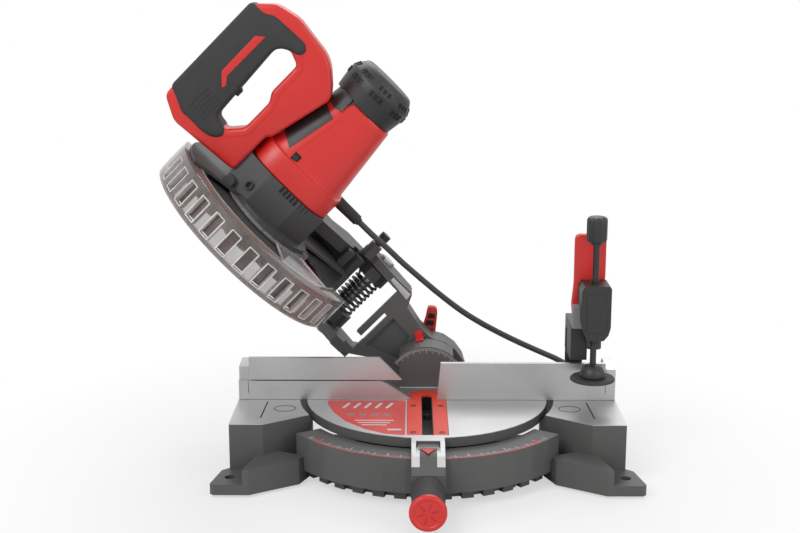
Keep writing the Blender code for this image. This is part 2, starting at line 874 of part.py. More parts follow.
def foot_at(side):
    points = scaled(FOOT_SHARES, FOOT_X, FOOT_Y)
    return points if side > 0 else mirrored(points)


def base_casting():
    """Two hollow wings, the scale ring with its notched rib, four feet and a spoked hub."""
    shape = rod("Z", (0, 0), BASE_Z + SEAT_GAP, HUB_TOP, HUB_R, sides=28)
    hollows = []
    for side in (1, -1):
        wing = wing_outline()
        hollow = inset(wing, WALL)
        if side < 0:
            wing = mirrored(wing)
            hollow = mirrored(hollow)
        join(shape, sheet("Z", BASE_Z, TABLE_Z, wing))
        hollows.append(sheet("Z", BASE_Z - OVERRUN, TABLE_Z - DECK_T, hollow))
    ring_low = 270.0 - RING_END
    ring_high = 270.0 + RING_END
    crown = swept("Z", (0, 0), [
        (RING_IN, RIB_LOW), (RING_IN, RING_TOP), (RING_OUT, RING_TOP), (RING_OUT, RING_SKIRT_LOW),
        (RING_OUT - WALL, RING_SKIRT_LOW), (RING_OUT - WALL, RING_TOP - RING_DECK_T),
        (RING_IN + WALL, RING_TOP - RING_DECK_T), (RING_IN + WALL, RIB_LOW),
    ], ring_low, ring_high, 14)
    teeth = []
    start_rib = ring_low + RIB_MARGIN
    step = (ring_high - ring_low - 2 * RIB_MARGIN) / RIB_NOTCHES
    for i in range(RIB_NOTCHES):
        start = start_rib + step * i
        middle = start + step * RIB_TOOTH_SHARE
        end = start + step
        teeth += arc(0, 0, RIB_OUT, start, middle, 1)
        teeth += arc(0, 0, RIB_OUT - RIB_NOTCH, middle, end, 1)
    rib = sheet("Z", RIB_LOW + NUDGE, RIB_TOP, teeth + arc(0, 0, RING_IN + WALL / 2, end, start_rib, 11))
    join(crown, rib)
    for tool in hollows:
        cut(shape, tool)
    join(shape, crown)
    for angle in SPOKE_ANGLES:
        spoke = box((0, SPOKE_REACH), (-SPOKE_HALF, SPOKE_HALF), (BASE_Z + SEAT_GAP, SPOKE_TOP))
        spoke.data.transform(Matrix.Rotation(math.radians(angle), 4, "Z"))
        join(shape, spoke)
    for side in (1, -1):
        join(shape, sheet("Z", BASE_Z, BASE_Z + FOOT_T, foot_at(side)))
        wall = scaled(FOOT_WALL_SHARES, FOOT_X, FOOT_Y)
        wall = wall if side > 0 else mirrored(wall)
        join(shape, sheet("Z", BASE_Z + FOOT_T / 2, FOOT_WALL_TOP, wall))
        leg_x = (side * REAR_FOOT_X - REAR_FOOT_HALF, side * REAR_FOOT_X + REAR_FOOT_HALF)
        profile = [
            (WING_BACK - WALL / 2, BASE_Z), (REAR_FOOT_Y, BASE_Z), (REAR_FOOT_Y, BASE_Z + FOOT_T),
            (REAR_PAD_Y - PAD_R, BASE_Z + FOOT_T), (WING_BACK - WALL / 2, REAR_LEG_TOP),
        ]
        join(shape, sheet("X", *leg_x, profile))
    holes = []
    for side in (1, -1):
        holes.append(
            rod("Z", (side * FOOT_HOLE_X, -FOOT_HOLE_Y), 0, FOOT_WALL_TOP + OVERRUN, FOOT_HOLE_R, sides=16)
        )
        for x, y in ((FRONT_PAD_X, -FRONT_PAD_Y), (REAR_FOOT_X, REAR_PAD_Y)):
            top = BASE_Z + PAD_STEM_H + SEAT_GAP
            holes.append(rod("Z", (side * x, y), BASE_Z - OVERRUN, top, PAD_STEM_R + SEAT_GAP, sides=12))
    holes.append(rod("Z", (0, 0), BASE_Z - OVERRUN, HUB_TOP + OVERRUN, PIVOT_R + RUNNING_GAP))
    cut(shape, together(holes))
    return place("base_casting", shape, PAINT, ROOT)


def foot_pads():
    for name, x, y in (
        ("foot_pad_front_left", -FRONT_PAD_X, -FRONT_PAD_Y),
        ("foot_pad_front_right", FRONT_PAD_X, -FRONT_PAD_Y),
        ("foot_pad_rear_left", -REAR_FOOT_X, REAR_PAD_Y),
        ("foot_pad_rear_right", REAR_FOOT_X, REAR_PAD_Y),
    ):
        low = BASE_Z - SEAT_GAP
        profile = [
            (0, BASE_Z + PAD_STEM_H), (PAD_STEM_R, BASE_Z + PAD_STEM_H), (PAD_STEM_R, low),
            (PAD_R, low), (PAD_R, 0), (0, 0),
        ]
        place(name, turned("Z", (x, y), profile, 12), RUBBER, ROOT)


def ear_profile():
    """The stop at a fence's outer end: a rounded block with a slot in it."""
    low = TABLE_Z + SEAT_GAP
    top = TABLE_Z + EAR_TOP
    depth = EAR_BACK + FENCE_FRONT
    outline = [(-FENCE_FRONT, low), (EAR_BACK, low), (EAR_BACK, low + (top - low) * 0.62)]
    outline += arc(EAR_BACK - depth / 3, top - (top - low) * 0.38, depth / 3, 0, 90, 5)[1:]
    outline += [(-FENCE_FRONT, top)]
    return outline


def fence_extras(side):
    """The foot that is bolted to the wing, and the end stop, with their holes."""
    low = TABLE_Z + SEAT_GAP
    span = sorted((side * LUG_IN, side * LUG_OUT))
    foot = box(span, (-FENCE_BACK - OVERRUN / 2, LUG_BACK), (low + NUDGE, low + LUG_T))
    ear_x = sorted((side * EAR_X0, side * EAR_X1))
    ear = sheet("X", *ear_x, ear_profile())
    bridge = box(
        sorted((side * (LUG_OUT - OVERRUN), side * (EAR_X0 + OVERRUN))),
        (-FENCE_FRONT + NUDGE, LUG_BACK - NUDGE), (low + NUDGE * 2, low + LUG_T - NUDGE),
    )
    return foot, bridge, ear


def fences():
    low = TABLE_Z + SEAT_GAP
    left = [
        (-FENCE_L_OUT, low), (-FENCE_L_TIP, low), (-FENCE_L_TOP_X, FENCE_L_TOP), (-FENCE_L_OUT, FENCE_L_TOP),
    ]
    shape = sheet("Y", -FENCE_FRONT, -FENCE_BACK, left)
    join(shape, box(
        (-GUIDE_OUT, -GUIDE_IN), (-FENCE_BACK - SEAT_GAP, -FENCE_BACK + GUIDE_T), (GUIDE_LOW, GUIDE_TOP)
    ))
    for extra in fence_extras(-1):
        join(shape, extra)
    cut(shape, box(
        (-GUIDE_OUT - OVERRUN, -GUIDE_IN + OVERRUN), (-FENCE_FRONT - OVERRUN, -FENCE_BACK),
        (FENCE_L_TOP, GUIDE_TOP + OVERRUN),
    ))
    cut(shape, box(
        (-EAR_X1 - OVERRUN, -EAR_X0 + NUDGE), (-FENCE_FRONT - OVERRUN, -FENCE_BACK + SEAT_GAP),
        (FENCE_L_TOP + SEAT_GAP, GUIDE_TOP + OVERRUN),
    ))
    place("fence_left", shape, ALLOY, ROOT)
    right = [
        (FENCE_R_IN, low), (FENCE_R_OUT, low), (FENCE_R_OUT, FENCE_R_TOP),
        (FENCE_R_IN + FENCE_R_LEAN, FENCE_R_TOP),
    ]
    shape = sheet("Y", -FENCE_FRONT, -FENCE_BACK, right)
    foot, bridge, ear = fence_extras(1)
    join(shape, foot, bridge, ear)
    cut(shape, rod(
        "Z", (POST_X, POST_Y), low - OVERRUN, low + LUG_T + OVERRUN, POST_FOOT_R + RUNNING_GAP
    ))
    place("fence_right", shape, ALLOY, ROOT)
    upper = [
        (-SLIDE_OUT, SLIDE_LOW), (-SLIDE_TIP, SLIDE_LOW), (-SLIDE_TOP_X, SLIDE_TOP), (-SLIDE_OUT, SLIDE_TOP),
    ]
    place("sliding_fence", sheet("Y", -FENCE_FRONT, -FENCE_BACK - SEAT_GAP * 2, upper), ALLOY, ROOT)


# turntable
def turntable():
    shape = turned("Z", (0, 0), [
        (0, TABLE_Z), (TABLE_R, TABLE_Z), (TABLE_R, RIM_LOW), (TABLE_R - RIM_T, RIM_LOW),
        (TABLE_R - RIM_T, TABLE_Z - TABLE_T), (0, TABLE_Z - TABLE_T),
    ], 54)
    trough_low = TROUGH_FLOOR - TROUGH_FLOOR_T
    trough = (-TROUGH_HALF - TROUGH_WALL, TROUGH_HALF + TROUGH_WALL)
    join(shape, box(trough, (-TABLE_R + RIM_T, DRUM_FRONT + OVERRUN), (trough_low, TABLE_Z - TABLE_T / 2)))
    join(
        shape, rod("Z", (0, 0), HUB_TOP + SEAT_GAP, TROUGH_FLOOR - TROUGH_FLOOR_T / 2, TABLE_HUB_R, sides=28),
    )
    neck = [
        (-ARM_RAIL_START, ARM_OVER_RING), (-ARM_RAIL_START, TABLE_Z - NUDGE),
        (-ARM_RAIL_END, TABLE_Z - NUDGE),
        (-NECK_BACK - SEAT_GAP, NECK_TOP), (-NECK_FRONT, GRIP_Z + GRIP_R), (-NECK_FRONT, NECK_LOW),
        (-NECK_BACK, NECK_LOW), (-NECK_BACK, ARM_OVER_RING),
    ]
    join(shape, sheet("X", -NECK_HALF, NECK_HALF, neck))
    boss_low = DETENT_LOW + DETENT_T + SEAT_GAP
    join(shape, box(
        (-DETENT_HALF, DETENT_HALF), (-DETENT_PIVOT_Y - DETENT_BOSS, -DETENT_PIVOT_Y + DETENT_BOSS),
        (boss_low, NECK_LOW + OVERRUN),
    ))
    cut(shape, box(
        (-NOTCH_HALF, NOTCH_HALF), (DRUM_BACK + SEAT_GAP, TABLE_R + OVERRUN), (HUB_TOP, TABLE_Z + OVERRUN)
    ))
    side_angle = math.degrees(math.acos(DRUM_HALF / DRUM_R))
    drum = [
        (-DRUM_HALF, DRUM_LOW), (DRUM_HALF, DRUM_LOW),
        *arc(0, TABLE_Z, DRUM_R, side_angle, 180 - side_angle, 10),
    ]
    join(shape, sheet("Y", DRUM_FRONT, DRUM_BACK, drum))
    cutters = [
        box((-SLOT_HALF, SLOT_HALF), (-SLOT_FRONT, SLOT_BACK), (TROUGH_FLOOR, TABLE_Z + OVERRUN)),
        box(
            (-TROUGH_HALF, TROUGH_HALF), (-SLOT_FRONT, SLOT_BACK),
            (TROUGH_FLOOR, TABLE_Z - TABLE_T - KERF_T / 2)
        ),
    ]
    for tool in cutters:
        cut(shape, tool)
    cut(shape, sheet("Z", TABLE_Z - KERF_T - SEAT_GAP, TABLE_Z + OVERRUN, kerf_outline(SEAT_GAP)))
    cut(shape, rod("Z", (0, 0), HUB_TOP - OVERRUN, TROUGH_FLOOR + OVERRUN / 2, PIVOT_R + SEAT_GAP))
    cut(shape, rod("Y", (0, TABLE_Z), DRUM_FRONT + WALL, DRUM_BACK + OVERRUN, BOLT_R + SEAT_GAP))
    cut(shape, rod("Y", (GRIP_X, GRIP_Z), -NECK_FRONT - OVERRUN, -NECK_BACK + OVERRUN, ROD_R + SEAT_GAP))
    cut(shape, box(
        (-ARM_RAIL_IN, ARM_RAIL_IN), (-NECK_FRONT - OVERRUN, -WINDOW_BACK), (WINDOW_FLOOR, TABLE_Z + OVERRUN)
    ))
    return place("turntable", shape, ALLOY, MITRE)


def kerf_outline(grow):
    """The kerf plate's outer edge: two straight sides and a round back."""
    half = KERF_HALF + grow
    return [
        (-half, -SLOT_FRONT - grow), (half, -SLOT_FRONT - grow),
        *arc(0, KERF_STRAIGHT, half, 0, 180, 10),
    ]


def kerf_plate():
    half = KERF_SLOT_HALF
    outline = [
        (-KERF_HALF, -SLOT_FRONT), (-half, -SLOT_FRONT), (-half, KERF_SLOT_BACK),
        *arc(0, KERF_SLOT_BACK, half, 180, 0, 6)[1:-1], (half, KERF_SLOT_BACK),
        (half, -SLOT_FRONT), (KERF_HALF, -SLOT_FRONT), *arc(0, KERF_STRAIGHT, KERF_HALF, 0, 180, 10),
    ]
    place("kerf_plate", sheet("Z", TABLE_Z - KERF_T, TABLE_Z, outline), RED, MITRE)


def pivot_bolt():
    shape = rod("Z", (0, 0), BASE_Z + SEAT_GAP * 3, TROUGH_FLOOR + SEAT_GAP * 2, PIVOT_R)
    head = rod(
        "Z", (0, 0), TROUGH_FLOOR + SEAT_GAP, TROUGH_FLOOR + PIVOT_HEAD_H,
        PIVOT_HEAD_R + PIVOT_R / 3, sides=6,
    )
    place("pivot_bolt", join(shape, head), STEEL, MITRE)


def pointer_and_window():
    low = WINDOW_FLOOR + SEAT_GAP
    window = box(
        (-WINDOW_HALF, WINDOW_HALF),
        (-ARM_RAIL_END - OVERRUN, -WINDOW_BACK - SEAT_GAP), (low, low + WINDOW_T),
    )
    place("scale_window", window, SMOKE, MITRE)
    start = -ARM_RAIL_END - OVERRUN - SEAT_GAP
    drop = (TABLE_Z - NECK_TOP) / (NECK_BACK - ARM_RAIL_END)
    tip_z = TABLE_Z - (POINTER_TIP_Y - ARM_RAIL_END) * drop
    outline = [
        (start, low), (start, low + POINTER_T), (-POINTER_TIP_Y, tip_z + POINTER_T * 3),
        (-POINTER_TIP_Y, tip_z + POINTER_T * 2),
    ]
    pointer = loft([
        [(-POINTER_HALF, y, z) for y, z in outline[:2]] + [(-POINTER_HALF / 8, y, z) for y, z in outline[2:]],
        [(POINTER_HALF, y, z) for y, z in outline[:2]] + [(POINTER_HALF / 8, y, z) for y, z in outline[2:]],
    ])
    place("mitre_pointer", pointer, RED, MITRE)


def front_grip():
    profile = [
        (ROD_R + SEAT_GAP, -GRIP_START), (GRIP_R, -GRIP_START), (GRIP_R, -GRIP_START - GRIP_R / 2),
        (GRIP_NECK_R, -(GRIP_START + GRIP_END) / 2), (GRIP_R, -GRIP_END + GRIP_R / 3), (GRIP_R, -GRIP_END),
        (ROD_R + SEAT_GAP, -GRIP_END),
    ]
    place("front_grip", turned("Y", (GRIP_X, GRIP_Z), profile, 22), BLACK, MITRE)
    start = -GRIP_END - SEAT_GAP
    profile = [
        (0, start), (KNOB_R, start), (KNOB_R, -KNOB_END + KNOB_DOME * 1.5),
        (KNOB_R * 0.86, -KNOB_END + KNOB_DOME * 0.4), (KNOB_R * 0.5, -KNOB_END), (0, -KNOB_END),
    ]
    knob = turned("Y", (GRIP_X, GRIP_Z), profile, 24)
    join(knob, rod(
        "Y", (GRIP_X, GRIP_Z), -GRIP_END - KNOB_DOME, -RING_OUT - SEAT_GAP, ROD_R
    ))
    grooves = []
    for i in range(KNOB_RIBS):
        angle = 2 * math.pi * i / KNOB_RIBS
        centre = (GRIP_X + KNOB_R * math.cos(angle), GRIP_Z + KNOB_R * math.sin(angle))
        grooves.append(
            rod("Y", centre, -KNOB_END - OVERRUN, -GRIP_END + OVERRUN, KNOB_RIB_DEPTH * 2, sides=6)
        )
    cut(knob, together(grooves))
    place("lock_knob", knob, RED, MITRE, (GRIP_X, 0, GRIP_Z))


def detent_lever():
    high = DETENT_LOW + DETENT_T
    shape = box((-DETENT_HALF, DETENT_HALF), (-DETENT_FRONT, -DETENT_BACK), (DETENT_LOW, high))
    thumb = [
        (-DETENT_FRONT - DETENT_T, DETENT_LOW), (-DETENT_FRONT + DETENT_THUMB, DETENT_LOW),
        (-DETENT_FRONT + DETENT_THUMB, high), (-DETENT_FRONT - DETENT_T, high + DETENT_T / 2),
    ]
    join(shape, sheet("X", -DETENT_HALF * 1.3, DETENT_HALF * 1.3, thumb))
    place("detent_lever", shape, BLACK, MITRE, (0, -DETENT_PIVOT_Y, DETENT_PIVOT_Z))


# bevel arm
def arm_outline():
    start = scaled(ARM_SHARES, ARM_HALF, ARM_TOP)
    end = scaled(ARM_SHARES_RIGHT, ARM_HALF, ARM_TOP)
    return start + arc(0, 0, ARM_HUB_R, ARM_HUB_START, ARM_HUB_END, 13) + end


def bevel_arm():
    shape = sheet("Y", ARM_FRONT, ARM_BACK, arm_outline())
    hollow = inset(arm_outline(), WALL)
    cut(shape, sheet("Y", ARM_FRONT + ARM_WEB, ARM_BACK + OVERRUN, hollow))
    cut(
        shape,
        sheet("Y", ARM_FRONT - OVERRUN, ARM_FRONT + ARM_POCKET, scaled(ARM_POCKET_SHARES, ARM_HALF, ARM_TOP)),
    )
    inner = (-CHEEK_L1, CHEEK_R1 + OVERRUN)
    cut(shape, box(inner, (ARM_FRONT - OVERRUN, ARM_BACK + OVERRUN), (ARM_PLATE_TOP, ARM_TOP + OVERRUN)))
    cut(shape, box(
        (-EAR_L0 - RUNNING_GAP, -EAR_L1 + RUNNING_GAP), (ARM_FRONT - OVERRUN, ARM_FRONT + ARM_WEB + OVERRUN),
        (ARM_NOTCH_LOW, ARM_PLATE_TOP + OVERRUN),
    ))
    join(shape, rod("Y", (0, 0), DRUM_BACK + SEAT_GAP, ARM_BACK - SEAT_GAP, ARM_BOSS_R, sides=22))
    cheek = [
        (CHEEK_FRONT, CHEEK_LOW), (CHEEK_FRONT, CHEEK_LOW + CHEEK_R),
        *arc(HINGE_Y, HINGE_H, CHEEK_R, 170, -10, 9), (ARM_BACK, CHEEK_LOW),
    ]
    join(shape, sheet("X", -CHEEK_L0 - NUDGE, -CHEEK_L1 - NUDGE, cheek))
    join(shape, sheet("X", CHEEK_R0 + NUDGE, CHEEK_R1, cheek))
    tower = [
        (HINGE_Y - CHEEK_R / 2, HINGE_H), *arc(PIN_Y, PIN_H, PIN_BOSS_R, 190, -10, 7),
        (HINGE_Y + CHEEK_R / 2, HINGE_H),
    ]
    join(shape, sheet("X", CHEEK_R0 + NUDGE * 2, CHEEK_R1 - NUDGE, tower))
    join(shape, rod("X", (PIN_Y, PIN_H), CHEEK_R1 - SEAT_GAP, PIN_BOSS_END, PIN_BOSS_R * 0.9))
    cut(
        shape,
        rod("X", (PIN_Y, PIN_H), CHEEK_R0 - OVERRUN, PIN_BOSS_END + OVERRUN, LOCK_R + SEAT_GAP, sides=16),
    )
    hinge = (HINGE_Y, HINGE_H)
    cut(shape, rod("X", hinge, -CHEEK_L0 - OVERRUN, CHEEK_R1 + OVERRUN, HINGE_R + SEAT_GAP))
    cut(shape, rod("Y", (0, 0), DRUM_BACK - OVERRUN, ARM_BACK + OVERRUN, BOLT_R + SEAT_GAP))
    cut(shape, box(
        (-ARM_SLOT_HALF, ARM_SLOT_HALF),
        (ARM_FRONT - OVERRUN, ARM_FRONT + ARM_WEB + OVERRUN), (ARM_SLOT_LOW, ARM_SLOT_HIGH)
    ))
    return place("bevel_arm", shape, PAINT, BEVEL)


def bevel_bolt():
    """The bolt goes in from behind, through the lever and the arm, into the table's drum."""
    shape = rod("Y", (0, TABLE_Z), DRUM_FRONT + WALL + SEAT_GAP, BOLT_END, BOLT_R)
    head = rod(
        "Y", (0, TABLE_Z), LEVER_BACK + SEAT_GAP, LEVER_BACK + SEAT_GAP + BOLT_HEAD_T, BOLT_HEAD_R, sides=6,
    )
    place("bevel_bolt", join(shape, head), STEEL, MITRE)


def bevel_pointer():
    low = DRUM_R + RUNNING_GAP
    shape = box(
        (-BEVEL_POINTER_HALF, BEVEL_POINTER_HALF),
        (BEVEL_POINTER_FRONT, ARM_FRONT - SEAT_GAP), (low, low + BEVEL_POINTER_T)
    )
    tab = box(
        (-BEVEL_POINTER_HALF, BEVEL_POINTER_HALF),
        (ARM_FRONT - SEAT_GAP - BEVEL_POINTER_T, ARM_FRONT - SEAT_GAP),
        (low, low + BEVEL_POINTER_HALF * 2),
    )
    join(shape, tab)
    turn = Matrix.Rotation(math.radians(BEVEL_POINTER_ANGLE), 4, "Y")
    for piece in (shape, tab):
        piece.data.transform(turn)
    place("bevel_pointer", shape, RED, BEVEL)


def bevel_lever():
    outline = scaled(LEVER_SHARES, LEVER_WIDTH, LEVER_LEN)
    shape = sheet("Y", LEVER_FRONT, LEVER_BACK, [(x, TABLE_Z + z) for x, z in outline])
    join(shape, rod("Y", (0, TABLE_Z), LEVER_FRONT, LEVER_BACK, LEVER_HUB_R, sides=28))
    half = LEVER_HOLE / 2
    holes = []
    for x, z in scaled(LEVER_HOLE_SHARES, LEVER_WIDTH, LEVER_LEN):
        holes.append(
            box(
                (x - half, x + half), (LEVER_FRONT - OVERRUN, LEVER_BACK + OVERRUN),
                (TABLE_Z + z - half, TABLE_Z + z + half),
            )
        )
    cut(shape, together(holes))
    cut(shape, rod("Y", (0, TABLE_Z), LEVER_FRONT - OVERRUN, LEVER_BACK + OVERRUN, BOLT_R + SEAT_GAP))
    place("bevel_lever", shape, RED, MITRE, (0, 0, TABLE_Z))


def hinge_pin():
    hinge = (HINGE_Y, HINGE_H)
    shape = rod("X", hinge, -CHEEK_L0 - SEAT_GAP * 2, CHEEK_R1 + HINGE_HEAD_T, HINGE_R)
    join(shape, rod("X", hinge, -CHEEK_L0 - SEAT_GAP - HINGE_HEAD_T, -CHEEK_L0 - SEAT_GAP, HINGE_HEAD_R))
    join(
        shape,
        rod("X", hinge, CHEEK_R1 + SEAT_GAP, CHEEK_R1 + SEAT_GAP + HINGE_HEAD_T, HINGE_HEAD_R, sides=6),
    )
    place("hinge_pin", shape, STEEL, BEVEL)


def least_gap(points, radius, skip):
    """The smallest clear distance between a tube's turns, on points further apart along it than skip."""
    places = np.array(points)
    steps = np.linalg.norm(np.diff(places, axis=0), axis=1)
    along = np.concatenate(([0], np.cumsum(steps)))
    apart = np.linalg.norm(places[:, None] - places[None], axis=2)
    far = np.abs(along[:, None] - along[None]) > skip
    return float(apart[far].min()) - 2 * radius


def curl(x0, x1, radius, turns, centre, start=0.0):
    """Points of a helix along X round a centre, from a start angle in degrees."""
    count = turns * CURL_POINTS
    points = []
    for i in range(count + 1):
        angle = math.radians(start) + 2 * math.pi * turns * i / count
        points.append((
            x0 + (x1 - x0) * i / count,
            centre[0] + radius * math.cos(angle),
            centre[1] + radius * math.sin(angle),
        ))
    return points


def springs():
    hinge = (HINGE_Y, HINGE_H)
    points = curl(SPRING_X0, SPRING_X1, SPRING_R, SPRING_TURNS, hinge, 90.0)
    leg_in = (SPRING_X0, points[0][1] + SPRING_LEG, points[0][2])
    leg_out = (SPRING_X1, points[-1][1] - SPRING_LEG, points[-1][2])
    points = [leg_in, *points, leg_out]
    print("least gap in torsion_spring, mm:", round(least_gap(points, SPRING_WIRE, SPRING_R * 3) * 1000, 2))
    place("torsion_spring", tube(points, SPRING_WIRE, 1), STEEL, BEVEL)
    start = PIN_BOSS_END + LOCK_SPRING_WIRE + SEAT_GAP
    end = LOCK_HEAD_X - LOCK_SPRING_WIRE - SEAT_GAP
    points = curl(start, end, LOCK_SPRING_R, LOCK_SPRING_TURNS, (PIN_Y, PIN_H))
    print(
        "least gap in lock_pin_spring, mm:",
        round(least_gap(points, LOCK_SPRING_WIRE, LOCK_SPRING_R * 3) * 1000, 2),
    )
    place("lock_pin_spring", tube(points, LOCK_SPRING_WIRE, 1), STEEL, BEVEL)


def lock_pin():
    at = (PIN_Y, PIN_H)
    shape = rod("X", at, LOCK_TIP, LOCK_HEAD_X + LOCK_HEAD_T / 2, LOCK_R, sides=16)
    join(shape, rod("X", at, LOCK_HEAD_X, LOCK_HEAD_X + LOCK_HEAD_T, LOCK_HEAD_R, sides=20))
    place("transport_lock_pin", shape, BLACK, BEVEL, (0, PIN_Y, PIN_H))


# head
def pitch_radii():
    distance = math.hypot(MOTOR_Y - ARBOR_Y, MOTOR_H - ARBOR_H)
    module = 2 * distance / (GEAR_TEETH + PINION_TEETH)
    return module, module * GEAR_TEETH / 2, module * PINION_TEETH / 2


def gear_case():
    """Head casting: gear housing, blade hood, fixed blade plate and the two hinge ears."""
    module, gear_r, _ = pitch_radii()
    arbor = (ARBOR_Y, ARBOR_H)
    motor = (MOTOR_Y, MOTOR_H)
    case = scaled(CASE_SHARES, CASE_HALF_Y, CASE_HALF_H, MOTOR_Y, MOTOR_H)
    shape = sheet("X", CASE_X0, CASE_X1, case)
    join(shape, rod("X", arbor, PLATE_X0 + SEAT_GAP, CASE_X0 + OVERRUN, GUARD_HUB_R - RUNNING_GAP, sides=28))
    plate = arc(*arbor, PLATE_R, 180.0 - PLATE_HIGH, 180.0 - PLATE_STEP, 15)
    plate += arc(*arbor, PLATE_LOW_R, 180.0 - PLATE_STEP, 180.0 - PLATE_LOW, 4)
    plate += arc(*arbor, PLATE_IN, 180.0 - PLATE_LOW, 180.0 - PLATE_HIGH, 19)
    join(shape, sheet("X", PLATE_X0, PLATE_X1, plate))
    flange = -GUARD_LEFT - RUNNING_GAP
    join(shape, guard_swept([
        (HOOD_FLANGE_IN, -HOOD_LEFT), (HOOD_R, -HOOD_LEFT), (HOOD_R, HOOD_RIGHT), (HOOD_WEB_R, HOOD_RIGHT),
        (HOOD_WEB_R, HOOD_WALL_X), (HOOD_IN, HOOD_WALL_X), (HOOD_IN, flange), (HOOD_FLANGE_IN, flange),
    ], HOOD_LOW, HOOD_HIGH, 18))
    back = guard_sector(HOOD_BACK_IN, HOOD_BACK_R, HOOD_BACK_START, HOOD_BACK_END, 5)
    join(shape, sheet("X", -HOOD_BACK_X0, HOOD_BACK_X1, back))
    for span, shares, ear_end in (
        ((-EAR_L0, -EAR_L1), STRUT_SHARES_LEFT, EAR_LEFT_END),
        ((EAR_R0, EAR_R1), STRUT_SHARES_RIGHT, EAR_RIGHT_END),
    ):
        strut = scaled(shares, HINGE_Y, STRUT_RISE, 0, HINGE_H)
        join(shape, sheet("X", *span, strut + arc(HINGE_Y, HINGE_H, EAR_R, EAR_START, ear_end, 10)))
    lobe_y = HINGE_Y + (PIN_Y - HINGE_Y) / 2 + (PIN_H - HINGE_H) * math.sqrt(3) / 2
    lobe_h = HINGE_H + (PIN_H - HINGE_H) / 2 - (PIN_Y - HINGE_Y) * math.sqrt(3) / 2
    cut(shape, rod("X", (lobe_y, lobe_h), EAR_R0 - OVERRUN, EAR_R1 + OVERRUN, LOCK_R + RUNNING_GAP, sides=16))
    cut(shape, rod("X", (HINGE_Y, HINGE_H), -EAR_L0 - OVERRUN, EAR_R1 + OVERRUN, HINGE_R + RUNNING_GAP))
    cut(shape, rod("X", arbor, PLATE_X0 - OVERRUN, BEARING_X + SEAT_GAP, SEAT_R))
    cut(shape, rod("X", arbor, BEARING_X, GEAR_CAVITY_X0 + OVERRUN, BEARING_R + SEAT_GAP))
    cavity_r = gear_r + module + GEAR_WALL
    cut(shape, rod("X", arbor, GEAR_CAVITY_X0, SPINDLE_END + RUNNING_GAP, cavity_r, sides=26))
    cut(shape, rod("X", motor, GEAR_CAVITY_X0, CASE_X1 + OVERRUN, ARMATURE_BORE_R, sides=20))
    join(
        shape,
        rod("Y", (CASE_X0 + STUD_R, STUD_H), STUD_Y - STUD_LEN * 2, STUD_Y + STUD_LEN, STUD_R, sides=20),
    )
    return place("gear_case", shape, PAINT, CHOP)


def lower_guard():
    """Clear guard: a rim with windows, two side walls and a web that turns on the case's boss."""
    arbor = (ARBOR_Y, ARBOR_H)
    inner = GUARD_R - GUARD_T
    left = -GUARD_LEFT + GUARD_WALL
    right = GUARD_RIGHT - GUARD_WALL
    shape = guard_swept([
        (GUARD_WALL_IN + GUARD_T, -GUARD_LEFT), (GUARD_R - GUARD_T, -GUARD_LEFT), (GUARD_R, left),
        (GUARD_R, GUARD_RIGHT), (GUARD_WALL_IN, GUARD_RIGHT), (GUARD_WALL_IN, right), (inner, right),
        (inner, left), (GUARD_WALL_IN + GUARD_T, left),
    ], GUARD_LOW, GUARD_HIGH, 20)
    web = guard_sector(
        GUARD_HUB_R + GUARD_HUB_T / 2, GUARD_WALL_IN + GUARD_T, GUARD_WEB_LOW, GUARD_WEB_HIGH, 8,
    )
    join(shape, sheet("X", right + NUDGE, GUARD_RIGHT - NUDGE, web))
    hub = turned("X", arbor, [
        (GUARD_HUB_R, GUARD_RIGHT), (GUARD_HUB_R + GUARD_HUB_T, GUARD_RIGHT),
        (GUARD_HUB_R + GUARD_HUB_T, right), (GUARD_HUB_R, right),
    ], 30)
    join(shape, hub)
    windows = []
    for i in range(GUARD_WINDOWS):
        middle = GUARD_WINDOW_FIRST + i * GUARD_WINDOW_PITCH
        outline = guard_sector(
            inner - GUARD_T, GUARD_R + GUARD_T,
            middle - GUARD_WINDOW_ARC / 2, middle + GUARD_WINDOW_ARC / 2, 1
        )
        windows.append(sheet("X", -GUARD_WINDOW_LEFT, GUARD_WINDOW_RIGHT, outline))
    cut(shape, together(windows))
    place("lower_guard", shape, SMOKE, CHOP, (0, ARBOR_Y, ARBOR_H))


